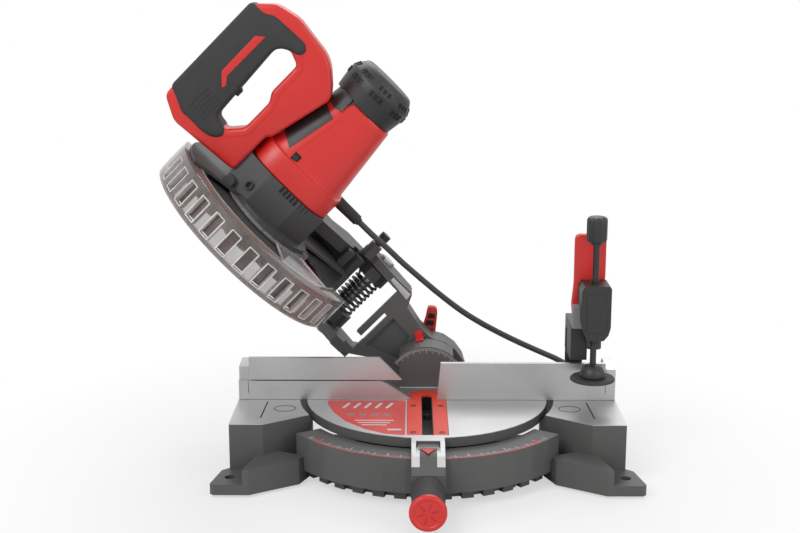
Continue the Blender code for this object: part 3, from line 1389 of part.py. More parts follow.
def spindle_train():
    """Blade, flanges, nut, spindle and its gear, all on the arbor."""
    arbor = (ARBOR_Y, ARBOR_H)
    origin = (0, ARBOR_Y, ARBOR_H)
    pitch = 2 * math.pi / BLADE_TEETH
    teeth = []
    for i in range(BLADE_TEETH):
        for r, share in ((BLADE_ROOT_R, 0.0), (BLADE_R, TOOTH_LEAN_SHARE), (BLADE_R, TOOTH_LEAN_SHARE / 2 + 0.5)):
            angle = (i + share) * pitch
            teeth.append((ARBOR_Y + r * math.cos(angle), ARBOR_H + r * math.sin(angle)))
    bore = arc(*arbor, BLADE_BORE_R, 0, 360, 20)[:-1]
    half = BLADE_T / 2
    place("saw_blade", sheet("X", -half, half, teeth, [bore]), CRIMSON, CHOP, origin)
    for name, side in (("outer_flange", -1), ("inner_flange", 1)):
        near = side * (half + SEAT_GAP)
        far = near + side * FLANGE_T
        bore_r = SPINDLE_R + SEAT_GAP
        ends = [
            (FLANGE_R, near), (FLANGE_R, near + side * FLANGE_T / 2),
            (FLANGE_HUB_R, far), (bore_r, far), (bore_r, near),
        ]
        place(name, turned("X", arbor, ends, 20), STEEL, CHOP, origin)
    start = -half - SEAT_GAP * 2 - FLANGE_T
    nut = rod("X", arbor, start - NUT_T, start, NUT_R, sides=6)
    place("blade_bolt", nut, STEEL, CHOP, origin)
    spindle = rod("X", arbor, start + SEAT_GAP, SPINDLE_END, SPINDLE_R)
    place("spindle", spindle, STEEL, CHOP, origin)
    module, gear_r, _ = pitch_radii()
    outline = wheel_outline(
        gear_r + module * 0.55, gear_r - module * 0.95, GEAR_TEETH, arbor, gear_mesh_turn(),
    )
    bore = arc(*arbor, SPINDLE_R + SEAT_GAP, 0, 360, 20)[:-1]
    place("spindle_gear", sheet("X", GEAR_X0, GEAR_X1, outline, [bore]), STEEL, CHOP, origin)
    ring = [
        (SPINDLE_R + SEAT_GAP, BEARING_X + SEAT_GAP * 2), (SPINDLE_R + SEAT_GAP, BEARING_X + BEARING_T),
        (BEARING_R, BEARING_X + BEARING_T), (BEARING_R, BEARING_X + SEAT_GAP * 2),
    ]
    place("spindle_bearing", turned("X", arbor, ring, 20), STEEL, CHOP, origin)


def gear_mesh_turn():
    """Turns the gear so that a gap, not a tooth, faces the pinion."""
    line = math.degrees(math.atan2(MOTOR_H - ARBOR_H, MOTOR_Y - ARBOR_Y))
    return line + 180.0 / GEAR_TEETH


def squarish(x, centre, half_y, half_h):
    """A ring of points on a rounded square, a superellipse of the shroud's own power."""
    points = []
    power = 2.0 / SHROUD_SQUARE
    for i in range(SHROUD_POINTS):
        angle = 2 * math.pi * i / SHROUD_POINTS
        c = math.cos(angle)
        s = math.sin(angle)
        y = centre[0] + half_y * math.copysign(abs(c) ** power, c)
        h = centre[1] + half_h * math.copysign(abs(s) ** power, s)
        points.append((x, y, h))
    return points


def motor_housing():
    start = CASE_X1 + SEAT_GAP
    motor = (MOTOR_Y, MOTOR_H)
    end = (MOTOR_Y, SHROUD_END_H)
    outer = loft([
        squarish(start, motor, COLLAR_HALF, COLLAR_HALF),
        squarish(COLLAR_END, motor, COLLAR_HALF, COLLAR_HALF),
        squarish(COLLAR_END + SHROUD_WALL, motor, SHROUD_HALF, SHROUD_HALF),
        squarish(SHROUD_END, end, SHROUD_END_HALF, SHROUD_END_HALF),
    ])
    wall = SHROUD_WALL
    inner = loft([
        squarish(start - OVERRUN, motor, SHROUD_HALF - wall, SHROUD_HALF - wall),
        squarish(COLLAR_END + wall, motor, SHROUD_HALF - wall, SHROUD_HALF - wall),
        squarish(SHROUD_END + OVERRUN / 4, end, SHROUD_END_HALF - wall, SHROUD_END_HALF - wall),
    ])
    cut(outer, inner)
    bore = rod(
        "Z", (RELIEF_X, RELIEF_Y), MOTOR_H - COLLAR_HALF - OVERRUN,
        MOTOR_H - SHROUD_HALF + WALL * 2, RELIEF_END_R,
    )
    cut(outer, bore)
    place("motor_housing", outer, RED, CHOP)


def motor_cap():
    motor = (MOTOR_Y, MOTOR_H)
    start = SHROUD_END + SEAT_GAP
    shape = turned("X", motor, [
        (0, CAP_END), (CAP_END_R, CAP_END), (CAP_R, CAP_SHOULDER), (CAP_R, CAP_FLARE), (CAP_NECK_R, start),
        (CAP_NECK_R - CAP_WALL, start), (CAP_R - CAP_WALL, CAP_FLARE + CAP_WALL / 2),
        (CAP_R - CAP_WALL, CAP_SHOULDER - CAP_WALL / 2), (CAP_END_R - CAP_WALL, CAP_END - CAP_WALL),
        (0, CAP_END - CAP_WALL),
    ], 26)
    slots = []
    half = CAP_SLOT_W / 2
    for i in range(CAP_SLOTS):
        slot = box((CAP_SLOT_X0, CAP_SLOT_X1), (-half, half), (CAP_END_R - CAP_WALL, CAP_R + OVERRUN))
        turn = Matrix.Rotation(2 * math.pi * (i + 1 / 6) / CAP_SLOTS, 4, "X")
        slot.data.transform(Matrix.Translation((0, *motor)) @ turn)
        slots.append(slot)
    cut(shape, together(slots))
    place("motor_cap", shape, BLACK, CHOP)


def motor_inside():
    """Armature with its pinion, fan and commutator, the stator, two bearings and two brushes."""
    motor = (MOTOR_Y, MOTOR_H)
    origin = (0, MOTOR_Y, MOTOR_H)
    module, _, pinion_r = pitch_radii()
    shaft = rod("X", motor, GEAR_X1 + SEAT_GAP, REAR_BEARING_X + MOTOR_BEARING_T, ARMATURE_SHAFT_R, sides=16)
    line = math.degrees(math.atan2(MOTOR_H - ARBOR_H, MOTOR_Y - ARBOR_Y))
    outline = wheel_outline(
        pinion_r + module * 0.55, pinion_r - module * 0.95, PINION_TEETH, motor, line + 180.0, 0.10, 0.22
    )
    join(shaft, sheet("X", GEAR_X0, GEAR_X1 + SEAT_GAP * 3, outline))
    join(shaft, rod("X", motor, ARMATURE_X0, ARMATURE_X1, ARMATURE_R, sides=20))
    join(shaft, rod("X", motor, COMMUTATOR_X0, COMMUTATOR_X1, COMMUTATOR_R, sides=16))
    place("armature", shaft, COPPER, CHOP, origin)
    fan = turned("X", motor, [
        (ARMATURE_SHAFT_R + SEAT_GAP, FAN_X0 + FAN_T),
        (FAN_HUB_R, FAN_X0 + FAN_T), (FAN_HUB_R, FAN_X0 + FAN_BLADE_T),
        (FAN_R, FAN_X0 + FAN_BLADE_T), (FAN_R, FAN_X0), (ARMATURE_SHAFT_R + SEAT_GAP, FAN_X0),
    ], 24)
    half = FAN_BLADE_T / 2
    for i in range(FAN_BLADES):
        blade = box((FAN_X0 + half, FAN_X0 + FAN_T), (-half, half), (FAN_HUB_R - half, FAN_R - half))
        turn = Matrix.Rotation(2 * math.pi * i / FAN_BLADES, 4, "X")
        blade.data.transform(Matrix.Translation((0, *motor)) @ turn)
        join(fan, blade)
    place("motor_fan", fan, GREY, CHOP, origin)
    stator = [
        (STATOR_IN, ARMATURE_X1), (STATOR_R, ARMATURE_X1), (STATOR_R, ARMATURE_X0), (STATOR_IN, ARMATURE_X0),
    ]
    place("stator", turned("X", motor, stator, 24), STEEL, CHOP, origin)
    for name, x in (("armature_front_bearing", FRONT_BEARING_X), ("armature_rear_bearing", REAR_BEARING_X)):
        ring = [
            (ARMATURE_SHAFT_R + SEAT_GAP, x + MOTOR_BEARING_T), (MOTOR_BEARING_R, x + MOTOR_BEARING_T),
            (MOTOR_BEARING_R, x), (ARMATURE_SHAFT_R + SEAT_GAP, x),
        ]
        place(name, turned("X", motor, ring, 16), STEEL, CHOP, origin)
    middle = (COMMUTATOR_X0 + COMMUTATOR_X1) / 2
    for name, side in (("brush_top", 1), ("brush_bottom", -1)):
        near = side * (COMMUTATOR_R + SEAT_GAP)
        span = sorted((MOTOR_H + near, MOTOR_H + near + side * BRUSH_LEN))
        brush = box(
            (middle - BRUSH_HALF, middle + BRUSH_HALF), (MOTOR_Y - BRUSH_HALF, MOTOR_Y + BRUSH_HALF), span,
        )
        place(name, brush, BLACK, CHOP)


def handle():
    outline = scaled(HANDLE_SHARES, HANDLE_W, HANDLE_H)
    opening = scaled(OPENING_SHARES, HANDLE_W, HANDLE_H)
    grip = scaled(GRIP_SHARES, HANDLE_W, HANDLE_H)
    core = scaled(CORE_SHARES, HANDLE_W, HANDLE_H)
    shell = sheet("Y", -HANDLE_HALF, HANDLE_HALF, outline, [opening])
    room = sheet("Y", -GRIP_HALF - OVERRUN, GRIP_HALF + OVERRUN, inset(grip, -SEAT_GAP))
    cut(room, sheet("Y", -CORE_HALF, CORE_HALF, core))
    cut(shell, room)
    slot_x = (TRIGGER_X0 - RUNNING_GAP, TRIGGER_X1 + RUNNING_GAP)
    slot_y = (-TRIGGER_HALF - RUNNING_GAP, TRIGGER_HALF + RUNNING_GAP)
    slot = (slot_x, slot_y, (TRIGGER_LOW - OVERRUN, TRIGGER_HIGH + TRIGGER_ROOM))
    cut(shell, box(*slot))
    place("handle_shell", shell, RED, CHOP)
    cover = sheet("Y", -GRIP_HALF, GRIP_HALF, grip)
    cut(cover, sheet("Y", -CORE_HALF - SEAT_GAP, CORE_HALF + SEAT_GAP, inset(core, -SEAT_GAP)))
    cut(cover, box(*slot))
    place("grip_cover", cover, SOFT, CHOP)
    width = TRIGGER_X1 - TRIGGER_X0
    height = TRIGGER_HIGH - TRIGGER_LOW
    trigger = sheet(
        "Y", -TRIGGER_HALF, TRIGGER_HALF, scaled(TRIGGER_SHARES, width, height, TRIGGER_X0, TRIGGER_LOW)
    )
    place("trigger", trigger, BLACK, CHOP, (TRIGGER_PIVOT_X, 0, TRIGGER_PIVOT_H))


# mains cord
def strain_relief():
    top = RELIEF_TOP - SEAT_GAP
    profile = [
        (0, top), (RELIEF_TOP_R, top), (RELIEF_TOP_R, top - RELIEF_COLLAR),
        (RELIEF_END_R * 1.25, top - RELIEF_COLLAR * 2),
        (RELIEF_END_R, RELIEF_END + CORD_R), (CORD_R * 1.3, RELIEF_END), (0, RELIEF_END),
    ]
    place("strain_relief", turned("Z", (RELIEF_X, RELIEF_Y), profile, 20), BLACK, CHOP)


def smooth_route(route, count):
    """Evenly spaced points on a smooth curve through the route's own points."""
    places = np.array(route)
    padded = np.vstack([2 * places[0] - places[1], places, 2 * places[-1] - places[-2]])
    dense = []
    for i in range(1, len(padded) - 2):
        a, b, c, d = padded[i - 1:i + 3]
        for t in np.linspace(0, 1, 16, endpoint=False):
            dense.append(0.5 * (
                2 * b + (c - a) * t + (2 * a - 5 * b + 4 * c - d) * t * t + (3 * b - a - 3 * c + d) * t ** 3
            ))
    dense.append(places[-1])
    dense = np.array(dense)
    along = np.concatenate(([0], np.cumsum(np.linalg.norm(np.diff(dense, axis=0), axis=1))))
    even = np.linspace(0, along[-1], count)
    return [tuple(float(np.interp(s, along, dense[:, k])) for k in range(3)) for s in even], along[-1]


def coil_route():
    """Two layers of turns: the lower spirals in, climbs a layer in half a turn, the upper spirals out."""
    low = CORD_R + FLOOR_LIFT
    total = 2 * COIL_LAYER_TURNS + 0.5
    count = round(total * LOOP_POINTS)
    points = []
    for i in range(count + 1):
        turn = total * i / count
        inward = min(turn, COIL_LAYER_TURNS)
        outward = max(turn - COIL_LAYER_TURNS - 0.5, 0)
        climb = min(max(turn - COIL_LAYER_TURNS, 0), 0.5) * 2
        radius = COIL_R - COIL_PITCH * (inward - outward)
        angle = 2 * math.pi * turn
        height = low + COIL_CLIMB * climb * climb * (3 - 2 * climb)
        points.append((COIL_X + radius * math.cos(angle), COIL_Y + radius * math.sin(angle), height))
    return points


def cord():
    stretch, length = smooth_route(CORD_ROUTE, STRETCH_POINTS)
    start = (Vector(stretch[1]) - Vector(stretch[0])).normalized()
    stretch[0] = tuple(Vector(stretch[0]) + start * SEAT_GAP)
    place("cord_stretch", tube(stretch, CORD_R, 1), BLACK, ROOT)
    coil = coil_route()
    first = coil[0]
    last = coil[-1]
    coil = [(first[0], first[1] - LEAD, first[2]), *coil, (last[0], last[1] - END_LEAD, last[2])]
    lengths = sum((Vector(b) - Vector(a)).length for a, b in zip(coil, coil[1:]))
    print("least gap in cord_coil, mm:", round(least_gap(coil, CORD_R, COIL_R) * 1000, 2))
    print(
        "cord length, m: stretch", round(length, 4), "coil",
        round(lengths, 4), "end", round(CORD_ROUTE[-1][1], 4), coil[0],
    )
    place("cord_coil", tube(coil, CORD_R, 1), BLACK, ROOT)
    plug_top = last[1] - END_LEAD - SEAT_GAP
    neck_end = plug_top - PLUG_NECK_LEN
    body_end = neck_end - PLUG_LEN
    shape = box((last[0] - PLUG_W / 2, last[0] + PLUG_W / 2), (body_end, neck_end), (FLOOR_LIFT * 2, PLUG_T))
    rounded(shape, PLUG_ROUND, 2, 30)
    join(shape, rod("Y", (last[0], last[2]), neck_end - PLUG_ROUND, plug_top, PLUG_NECK_R, sides=16))
    for side in (1, -1):
        pin = (last[0] + side * PLUG_PIN_X, last[2])
        join(shape, rod("Y", pin, body_end - PLUG_PIN_LEN, body_end + PLUG_ROUND, PLUG_PIN_R, sides=12))
    place("plug", shape, BLACK, ROOT)


# clamp
def clamp():
    low = TABLE_Z + SEAT_GAP
    half = POST_HALF
    web = POST_WEB_T / 2
    flange = POST_FLANGE_T
    section = [
        (-half, -half), (half, -half), (half, -half + flange), (web, -half + flange), (web, half - flange),
        (half, half - flange), (half, half), (-half, half), (-half, half - flange), (-web, half - flange),
        (-web, -half + flange), (-half, -half + flange),
    ]
    section = [(POST_X + x, POST_Y + y) for x, y in section]
    post = loft([[(x, y, z) for x, y in section] for z in (low + POST_FOOT_T / 2, POST_TOP)])
    join(post, rod("Z", (POST_X, POST_Y), low, low + POST_FOOT_T, POST_FOOT_R, sides=26))
    place("clamp_post", post, STEEL, ROOT)
    height = CLAMP_BODY_TOP - CLAMP_BODY_LOW
    outline = scaled(BODY_SHARES, CLAMP_BODY_HALF, height, CLAMP_X, CLAMP_BODY_LOW)
    shape = sheet("Y", -CLAMP_BODY_FRONT, -CLAMP_BODY_BACK, outline)
    bracket = box(
        (BRACKET_X0, BRACKET_X1), (-CLAMP_BODY_BACK - OVERRUN, BRACKET_BACK), (BRACKET_LOW, BRACKET_TOP),
    )
    join(shape, bracket)
    join(shape, box(
        (CLAMP_X - CLAMP_BODY_HALF / 2, BRACKET_X1),
        (-CLAMP_BODY_FRONT + OVERRUN, -CLAMP_BODY_BACK - OVERRUN / 2),
        (CLAMP_COLLAR_LOW + OVERRUN, CLAMP_BODY_LOW + OVERRUN),
    ))
    join(shape, rod("Z", (CLAMP_X, CLAMP_Y), CLAMP_COLLAR_LOW, CLAMP_BODY_LOW + OVERRUN, CLAMP_COLLAR_R))
    room = POST_HALF + SEAT_GAP
    cut(shape, box(
        (POST_X - room, POST_X + room), (POST_Y - room, POST_Y + room),
        (BRACKET_LOW - OVERRUN, POST_TOP + SEAT_GAP)
    ))
    cut(
        shape,
        rod(
            "Z", (CLAMP_X, CLAMP_Y), CLAMP_COLLAR_LOW - OVERRUN,
            CLAMP_BODY_TOP + OVERRUN, CLAMP_ROD_R + SEAT_GAP, sides=16,
        ),
    )
    pocket = (RELEASE_X0 - OVERRUN, RELEASE_X1 + RELEASE_TRAVEL + RUNNING_GAP)
    release_y = (CLAMP_Y - RELEASE_HALF, CLAMP_Y + RELEASE_HALF)
    cut(shape, box(
        pocket, (release_y[0] - RUNNING_GAP, release_y[1] + RUNNING_GAP),
        (RELEASE_LOW - RUNNING_GAP, RELEASE_TOP + RUNNING_GAP)
    ))
    join(
        shape,
        rod(
            "Y", (SQUEEZE_PIVOT_X, SQUEEZE_PIVOT_Z), -CLAMP_BODY_BACK - OVERRUN,
            -SQUEEZE_BACK, SQUEEZE_PIN_R, sides=16,
        ),
    )
    place("clamp_body", shape, BLACK, ROOT)
    release = box((RELEASE_X0, RELEASE_X1), release_y, (RELEASE_LOW, RELEASE_TOP))
    place("clamp_release", release, GREY, ROOT)
    lever = sheet("Y", -SQUEEZE_FRONT, -SQUEEZE_BACK, scaled(
        SQUEEZE_SHARES, SQUEEZE_X1 - SQUEEZE_X0, SQUEEZE_TOP - SQUEEZE_LOW, SQUEEZE_X0, SQUEEZE_LOW
    ))
    cut(lever, rod(
        "Y", (SQUEEZE_PIVOT_X, SQUEEZE_PIVOT_Z), -SQUEEZE_FRONT - OVERRUN, -SQUEEZE_BACK + OVERRUN,
        SQUEEZE_PIN_R + SEAT_GAP, sides=16,
    ))
    place("clamp_lever", lever, RED, ROOT, (SQUEEZE_PIVOT_X, 0, SQUEEZE_PIVOT_Z))
    at = (CLAMP_X, CLAMP_Y)
    bar = rod("Z", at, CLAMP_ROD_LOW, KNOB_LOW + SEAT_GAP, CLAMP_ROD_R, sides=16)
    place("clamp_rod", bar, STEEL, ROOT, (*at, 0))
    profile = [
        (0, CLAMP_KNOB_TOP), (CLAMP_KNOB_R * 0.92, CLAMP_KNOB_TOP),
        (CLAMP_KNOB_R, CLAMP_KNOB_TOP - CORD_R / 2),
        (CLAMP_KNOB_R, CLAMP_KNOB_LOW), (CLAMP_KNOB_NECK_R, CLAMP_KNOB_LOW - CORD_R),
        (CLAMP_KNOB_NECK_R, KNOB_LOW + SEAT_GAP * 2),
        (0, KNOB_LOW + SEAT_GAP * 2),
    ]
    place("clamp_knob", turned("Z", at, profile, 12), BLACK, ROOT, (*at, 0))
    profile = [
        (0, DOME_TOP), (CLAMP_ROD_R * 2, DOME_TOP), (DOME_R * 0.72, (DOME_TOP + DOME_LOW) / 2 + CORD_R / 2),
        (DOME_R, DOME_LOW), (0, DOME_LOW),
    ]
    place("clamp_swivel", turned("Z", at, profile, 24), BLACK, ROOT, (*at, DOME_TOP))
    profile = [
        (0, DOME_LOW - SEAT_GAP), (DISC_R - DISC_T / 2, DOME_LOW - SEAT_GAP), (DISC_R, DOME_LOW - DISC_T / 2),
        (DISC_R, DOME_LOW - SEAT_GAP - DISC_T), (0, DOME_LOW - SEAT_GAP - DISC_T),
    ]
    place("clamp_pad", turned("Z", at, profile, 24), GREY, ROOT, (*at, DOME_TOP))


base_casting()
foot_pads()
fences()
turntable()
kerf_plate()
pivot_bolt()
pointer_and_window()
front_grip()
detent_lever()
bevel_arm()
bevel_bolt()
bevel_pointer()
bevel_lever()
hinge_pin()
springs()
lock_pin()
gear_case()
lower_guard()
spindle_train()
motor_housing()
motor_cap()
motor_inside()
handle()
strain_relief()
cord()
clamp()
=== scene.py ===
"""Looks of a compound mitre saw, its head raised and tilted 45 degrees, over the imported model."""
import json
import math

import bmesh
import bpy
import numpy as np
from mathutils import Matrix, Vector


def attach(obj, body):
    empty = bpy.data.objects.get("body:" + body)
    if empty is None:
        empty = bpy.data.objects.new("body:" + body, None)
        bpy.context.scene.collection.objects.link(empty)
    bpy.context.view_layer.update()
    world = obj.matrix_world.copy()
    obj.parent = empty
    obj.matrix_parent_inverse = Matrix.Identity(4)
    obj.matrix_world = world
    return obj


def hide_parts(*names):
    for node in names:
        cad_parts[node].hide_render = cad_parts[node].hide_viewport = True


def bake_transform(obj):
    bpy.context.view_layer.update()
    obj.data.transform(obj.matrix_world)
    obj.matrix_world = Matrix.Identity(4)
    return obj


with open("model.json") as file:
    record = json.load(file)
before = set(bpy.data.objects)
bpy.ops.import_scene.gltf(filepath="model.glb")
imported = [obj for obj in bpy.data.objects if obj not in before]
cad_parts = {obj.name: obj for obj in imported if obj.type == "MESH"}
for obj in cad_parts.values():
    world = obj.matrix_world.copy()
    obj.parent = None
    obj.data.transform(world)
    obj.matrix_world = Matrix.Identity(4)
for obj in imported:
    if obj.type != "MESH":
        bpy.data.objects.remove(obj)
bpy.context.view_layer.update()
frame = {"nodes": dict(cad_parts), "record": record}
NODES = frame["nodes"]

# the frame that part.py uses, moved to the middle of the saw's footprint
SHIFT = np.array((0.0354, 0.0472, 0.0))
TABLE_Z = 0.0628
HALF_ROOT = math.sqrt(0.5)
ARBOR = (0.005, 0.257)
MOTOR = (0.030, 0.269)


# places: each function takes points in a piece's own frame to the row frame
def on_base(points):
    return np.asarray(points, float) + SHIFT


def on_head(points):
    """The tilting frame: (across to the motor, back, up in the blade's plane), turned 45 degrees."""
    points = np.asarray(points, float)
    off, y, h = points[..., 0], points[..., 1], points[..., 2]
    return np.stack([(off - h) * HALF_ROOT, y, TABLE_Z + (off + h) * HALF_ROOT], -1) + SHIFT


def along(axis, u, v, w):
    """Puts the two outline values and the thickness value in order for a plate along an axis."""
    order = {"X": (w, u, v), "Y": (u, w, v), "Z": (u, v, w)}[axis]
    return np.stack(np.broadcast_arrays(*order), -1)


# materials
class Term:
    """A socket in arithmetic: each operator adds its own Math node."""

    def __init__(self, finish, socket):
        self.finish = finish
        self.socket = socket

    def join(self, operation, other, swap=False):
        pair = (other, self) if swap else (self, other)
        return self.finish.node("ShaderNodeMath", {"operation": operation}, {0: pair[0], 1: pair[1]})

    def __add__(self, other):
        return self.join("ADD", other)

    def __radd__(self, other):
        return self.join("ADD", other, True)

    def __sub__(self, other):
        return self.join("SUBTRACT", other)

    def __rsub__(self, other):
        return self.join("SUBTRACT", other, True)

    def __mul__(self, other):
        return self.join("MULTIPLY", other)

    def __rmul__(self, other):
        return self.join("MULTIPLY", other, True)

    def __truediv__(self, other):
        return self.join("DIVIDE", other)

    def __gt__(self, other):
        return self.join("GREATER_THAN", other)

    def __lt__(self, other):
        return self.join("LESS_THAN", other)


class Finish:
    """A Principled material with its tree; sockets that never vary are set on the shader itself."""

    def __init__(self, name, colour, roughness, metallic=0.0, **fixed):
        self.material = bpy.data.materials.new(name)
        self.material.use_nodes = True
        self.tree = self.material.node_tree
        self.shader = self.tree.nodes["Principled BSDF"]
        self.colour = (*colour, 1.0)
        self.shader.inputs["Base Color"].default_value = self.colour
        self.shader.inputs["Roughness"].default_value = roughness
        self.shader.inputs["Metallic"].default_value = metallic
        for socket, value in fixed.items():
            self.shader.inputs[socket.replace("_", " ").title().replace("Ior", "IOR")].default_value = value

    def feed(self, socket, value):
        if isinstance(value, Term):
            self.tree.links.new(value.socket, socket)
        else:
            socket.default_value = value

    def node(self, kind, settings=None, inputs=None, output=0):
        made = self.tree.nodes.new(kind)
        for key, value in (settings or {}).items():
            if key == "stops":
                ramp = made.color_ramp
                while len(ramp.elements) < len(value):
                    ramp.elements.new(0.5)
                for element, (at, shade) in zip(ramp.elements, value):
                    element.position = at
                    element.color = shade
            else:
                setattr(made, key, value)
        for key, value in (inputs or {}).items():
            self.feed(made.inputs[key], value)
        return Term(self, made.outputs[output])

    def coordinates(self):
        return self.node("ShaderNodeTexCoord", output="Object")

    def noise(self, scale, detail=3.0, stretch=None, roughness=0.5):
        """Noise of that many cells a metre, stretched by a factor on each axis."""
        place = self.coordinates()
        if stretch is not None:
            place = self.node("ShaderNodeMapping", inputs={"Vector": place, "Scale": stretch})
        return self.node("ShaderNodeTexNoise", inputs={
            "Vector": place, "Scale": scale, "Detail": detail, "Roughness": roughness,
        })

    def mix(self, factor, first, second):
        made = self.tree.nodes.new("ShaderNodeMix")
        made.data_type = "RGBA"
        self.feed(made.inputs[0], factor)
        self.feed(made.inputs[6], first)
        self.feed(made.inputs[7], second)
        return Term(self, made.outputs[2])

    def split(self, vector):
        made = self.tree.nodes.new("ShaderNodeSeparateXYZ")
        self.feed(made.inputs[0], vector)
        return [Term(self, made.outputs[i]) for i in range(3)]

    def set(self, socket, value):
        self.feed(self.shader.inputs[socket], value)
        return self

    def bump(self, height, strength, distance=0.0004):
        made = self.tree.nodes.new("ShaderNodeBump")
        made.inputs["Strength"].default_value = strength
        made.inputs["Distance"].default_value = distance
        self.feed(made.inputs["Height"], height)
        self.feed(self.shader.inputs["Normal"], Term(self, made.outputs[0]))
        return self

    def radius(self, middle, axis_frame=None):
        """Distance from an axis through a point, straight up or along the head's own X."""
        x, y, z = self.split(self.coordinates())
        if axis_frame == "head":
            h = ((z - TABLE_Z) - (x - SHIFT[0])) * HALF_ROOT
            u, v = y - (middle[0] + SHIFT[1]), h - middle[1]
        else:
            u, v = x - (middle[0] + SHIFT[0]), y - (middle[1] + SHIFT[1])
        return self.node("ShaderNodeMath", {"operation": "SQRT"}, {0: u * u + v * v})


def shade(colour, factor):
    return (*[min(c * factor, 1.0) for c in colour], 1.0)


def moulded(name, colour, roughness, grain, strength, spread=0.12, **fixed):
    """Moulded or painted surface: a fine grain in the bump, and a soft drift of tone and gloss."""
    made = Finish(name, colour, roughness, **fixed)
    drift = made.noise(14.0, 3.0)
    made.set("Base Color", made.mix(drift, shade(colour, 1 - spread), shade(colour, 1 + spread)))
    made.set("Roughness", made.noise(60.0, 4.0) * 0.16 + (roughness - 0.08))
    return made.bump(made.noise(grain, 2.0), strength)


def brushed(name, colour, roughness, stretch, spread=0.10, cloud=9.0):
    """Machined metal: fine lines drawn out along one axis, over a cloudy tone."""
    made = Finish(name, colour, roughness, 1.0)
    lines = made.noise(260.0, 3.0, stretch)
    clouds = made.noise(cloud, 4.0)
    made.set("Base Color", made.mix(clouds, shade(colour, 1 - spread), shade(colour, 1 + spread)))
    made.set("Roughness", lines * 0.14 + clouds * 0.16 + (roughness - 0.15))
    return made.bump(lines, 0.10, 0.0002)


PAINT_GREY = (0.090, 0.090, 0.088)
PAINT = moulded("cast_paint", PAINT_GREY, 0.50, 1500.0, 0.16)
HEAD_PAINT = moulded("head_paint", (0.052, 0.052, 0.053), 0.48, 1500.0, 0.16)
RED_TONE = (0.64, 0.026, 0.022)
RED = moulded("gloss_red", RED_TONE, 0.36, 2200.0, 0.05, 0.05)
# a darker copy of the red: painted shade for the lines on the lock cap's face
GROOVE_SHADE_RED = moulded("painted_shade_red", (0.50, 0.016, 0.022), 0.40, 2200.0, 0.06, 0.05)
KERF_RED = moulded("kerf_red", (0.72, 0.050, 0.024), 0.42, 2200.0, 0.05, 0.05)
BLACK = moulded("black_plastic", (0.022, 0.022, 0.023), 0.46, 1800.0, 0.10)
RUBBER = moulded("black_rubber", (0.030, 0.030, 0.031), 0.74, 2600.0, 0.30)
CORD = moulded("cord_sheath", (0.045, 0.045, 0.046), 0.55, 1800.0, 0.08)
GREY = moulded("grey_plastic", (0.20, 0.20, 0.21), 0.50, 1600.0, 0.10)
# near-black painted shade: plates laid in vent slots, screw and lever pockets and wing grooves stand in for the shade
# inside them; the wings' thin oval outline uses the same black
SHADE_AND_OUTLINE_BLACK = Finish("painted_shade_and_outline_black", (0.006, 0.006, 0.006), 0.8)
STEEL = brushed("turned_steel", (0.50, 0.50, 0.51), 0.34, (1.0, 1.0, 6.0))
FENCE = brushed("machined_fence", (0.50, 0.50, 0.50), 0.42, (0.05, 1.0, 1.0), 0.30, 9.0)
COPPER = brushed("copper", (0.70, 0.30, 0.15), 0.38, (1.0, 1.0, 1.0))
WHITE_MARK = Finish("white_mark", (0.62, 0.62, 0.62), 0.5)
SCREW = brushed("black_screw", (0.06, 0.06, 0.06), 0.4, (1.0, 1.0, 1.0))


def part_bare(name, low, sloping=None, rings=None):
    """Grey paint with the top machined bare above a height; on the neck's sloping rails the faces that look upwards
    take the same light metal colour, a painted highlight.
    """
    made = Finish(name, PAINT_GREY, 0.5)
    place = made.coordinates()
    x, y, z = made.split(place)
    bare = (z > low) * (z < low + 0.0012)
    if sloping is not None:
        up = made.split(made.node("ShaderNodeNewGeometry", output="Normal"))[2]
        apart = made.node("ShaderNodeMath", {"operation": "ABSOLUTE"}, {0: x - SHIFT[0]})
        # painted highlight: the rails' faces that look upwards get the light bare-metal colour because they face up
        rail_highlight = (up > 0.35) * (y < sloping[0] + SHIFT[1]) * (z > sloping[1]) * (apart > 0.0085)
        bare = made.node("ShaderNodeMath", {"operation": "MAXIMUM"}, {0: bare, 1: rail_highlight})
    clouds = made.noise(11.0, 4.0)
    if rings is None:
        lines = made.noise(240.0, 3.0, (0.05, 1.0, 1.0))
    else:
        turns = made.radius((0.0, 0.0))
        lines = made.node(
            "ShaderNodeTexNoise", {"noise_dimensions": "1D"},
            {"W": turns * 1.0, "Scale": rings, "Detail": 3.0},
        )
    metal = made.mix(clouds, (0.47, 0.47, 0.47, 1), (0.60, 0.60, 0.60, 1))
    paint = made.mix(made.noise(14.0, 3.0), shade(PAINT_GREY, 0.88), shade(PAINT_GREY, 1.12))
    made.set("Base Color", made.mix(bare, paint, metal))
    made.set("Metallic", bare * 0.9)
    made.set("Roughness", (1.0 - bare) * 0.5 + bare * (lines * 0.12 + clouds * 0.10 + 0.30))
    return made.bump(made.noise(1500.0, 2.0) * (1.0 - bare) + lines * bare * 0.5, 0.14)


TABLE = part_bare("table_casting", TABLE_Z - 0.0006, (-0.132, 0.048), 2600.0)
BASE = part_bare("base_casting", TABLE_Z - 0.0006)

# the blade: coated face with rings of turning marks, bright carbide at the rim
BLADE = Finish("coated_blade", (0.36, 0.012, 0.055), 0.36, 0.55)
blade_r = BLADE.radius(ARBOR, "head")
tip = blade_r > 0.1005
turning = BLADE.node("ShaderNodeTexNoise", {"noise_dimensions": "1D"}, {"W": blade_r * 1.0, "Scale": 2400.0})
BLADE.set("Base Color", BLADE.mix(tip, (0.36, 0.012, 0.055, 1), (0.42, 0.42, 0.43, 1)))
BLADE.set("Roughness", turning * 0.2 + 0.26)
BLADE.bump(turning, 0.08, 0.0002)

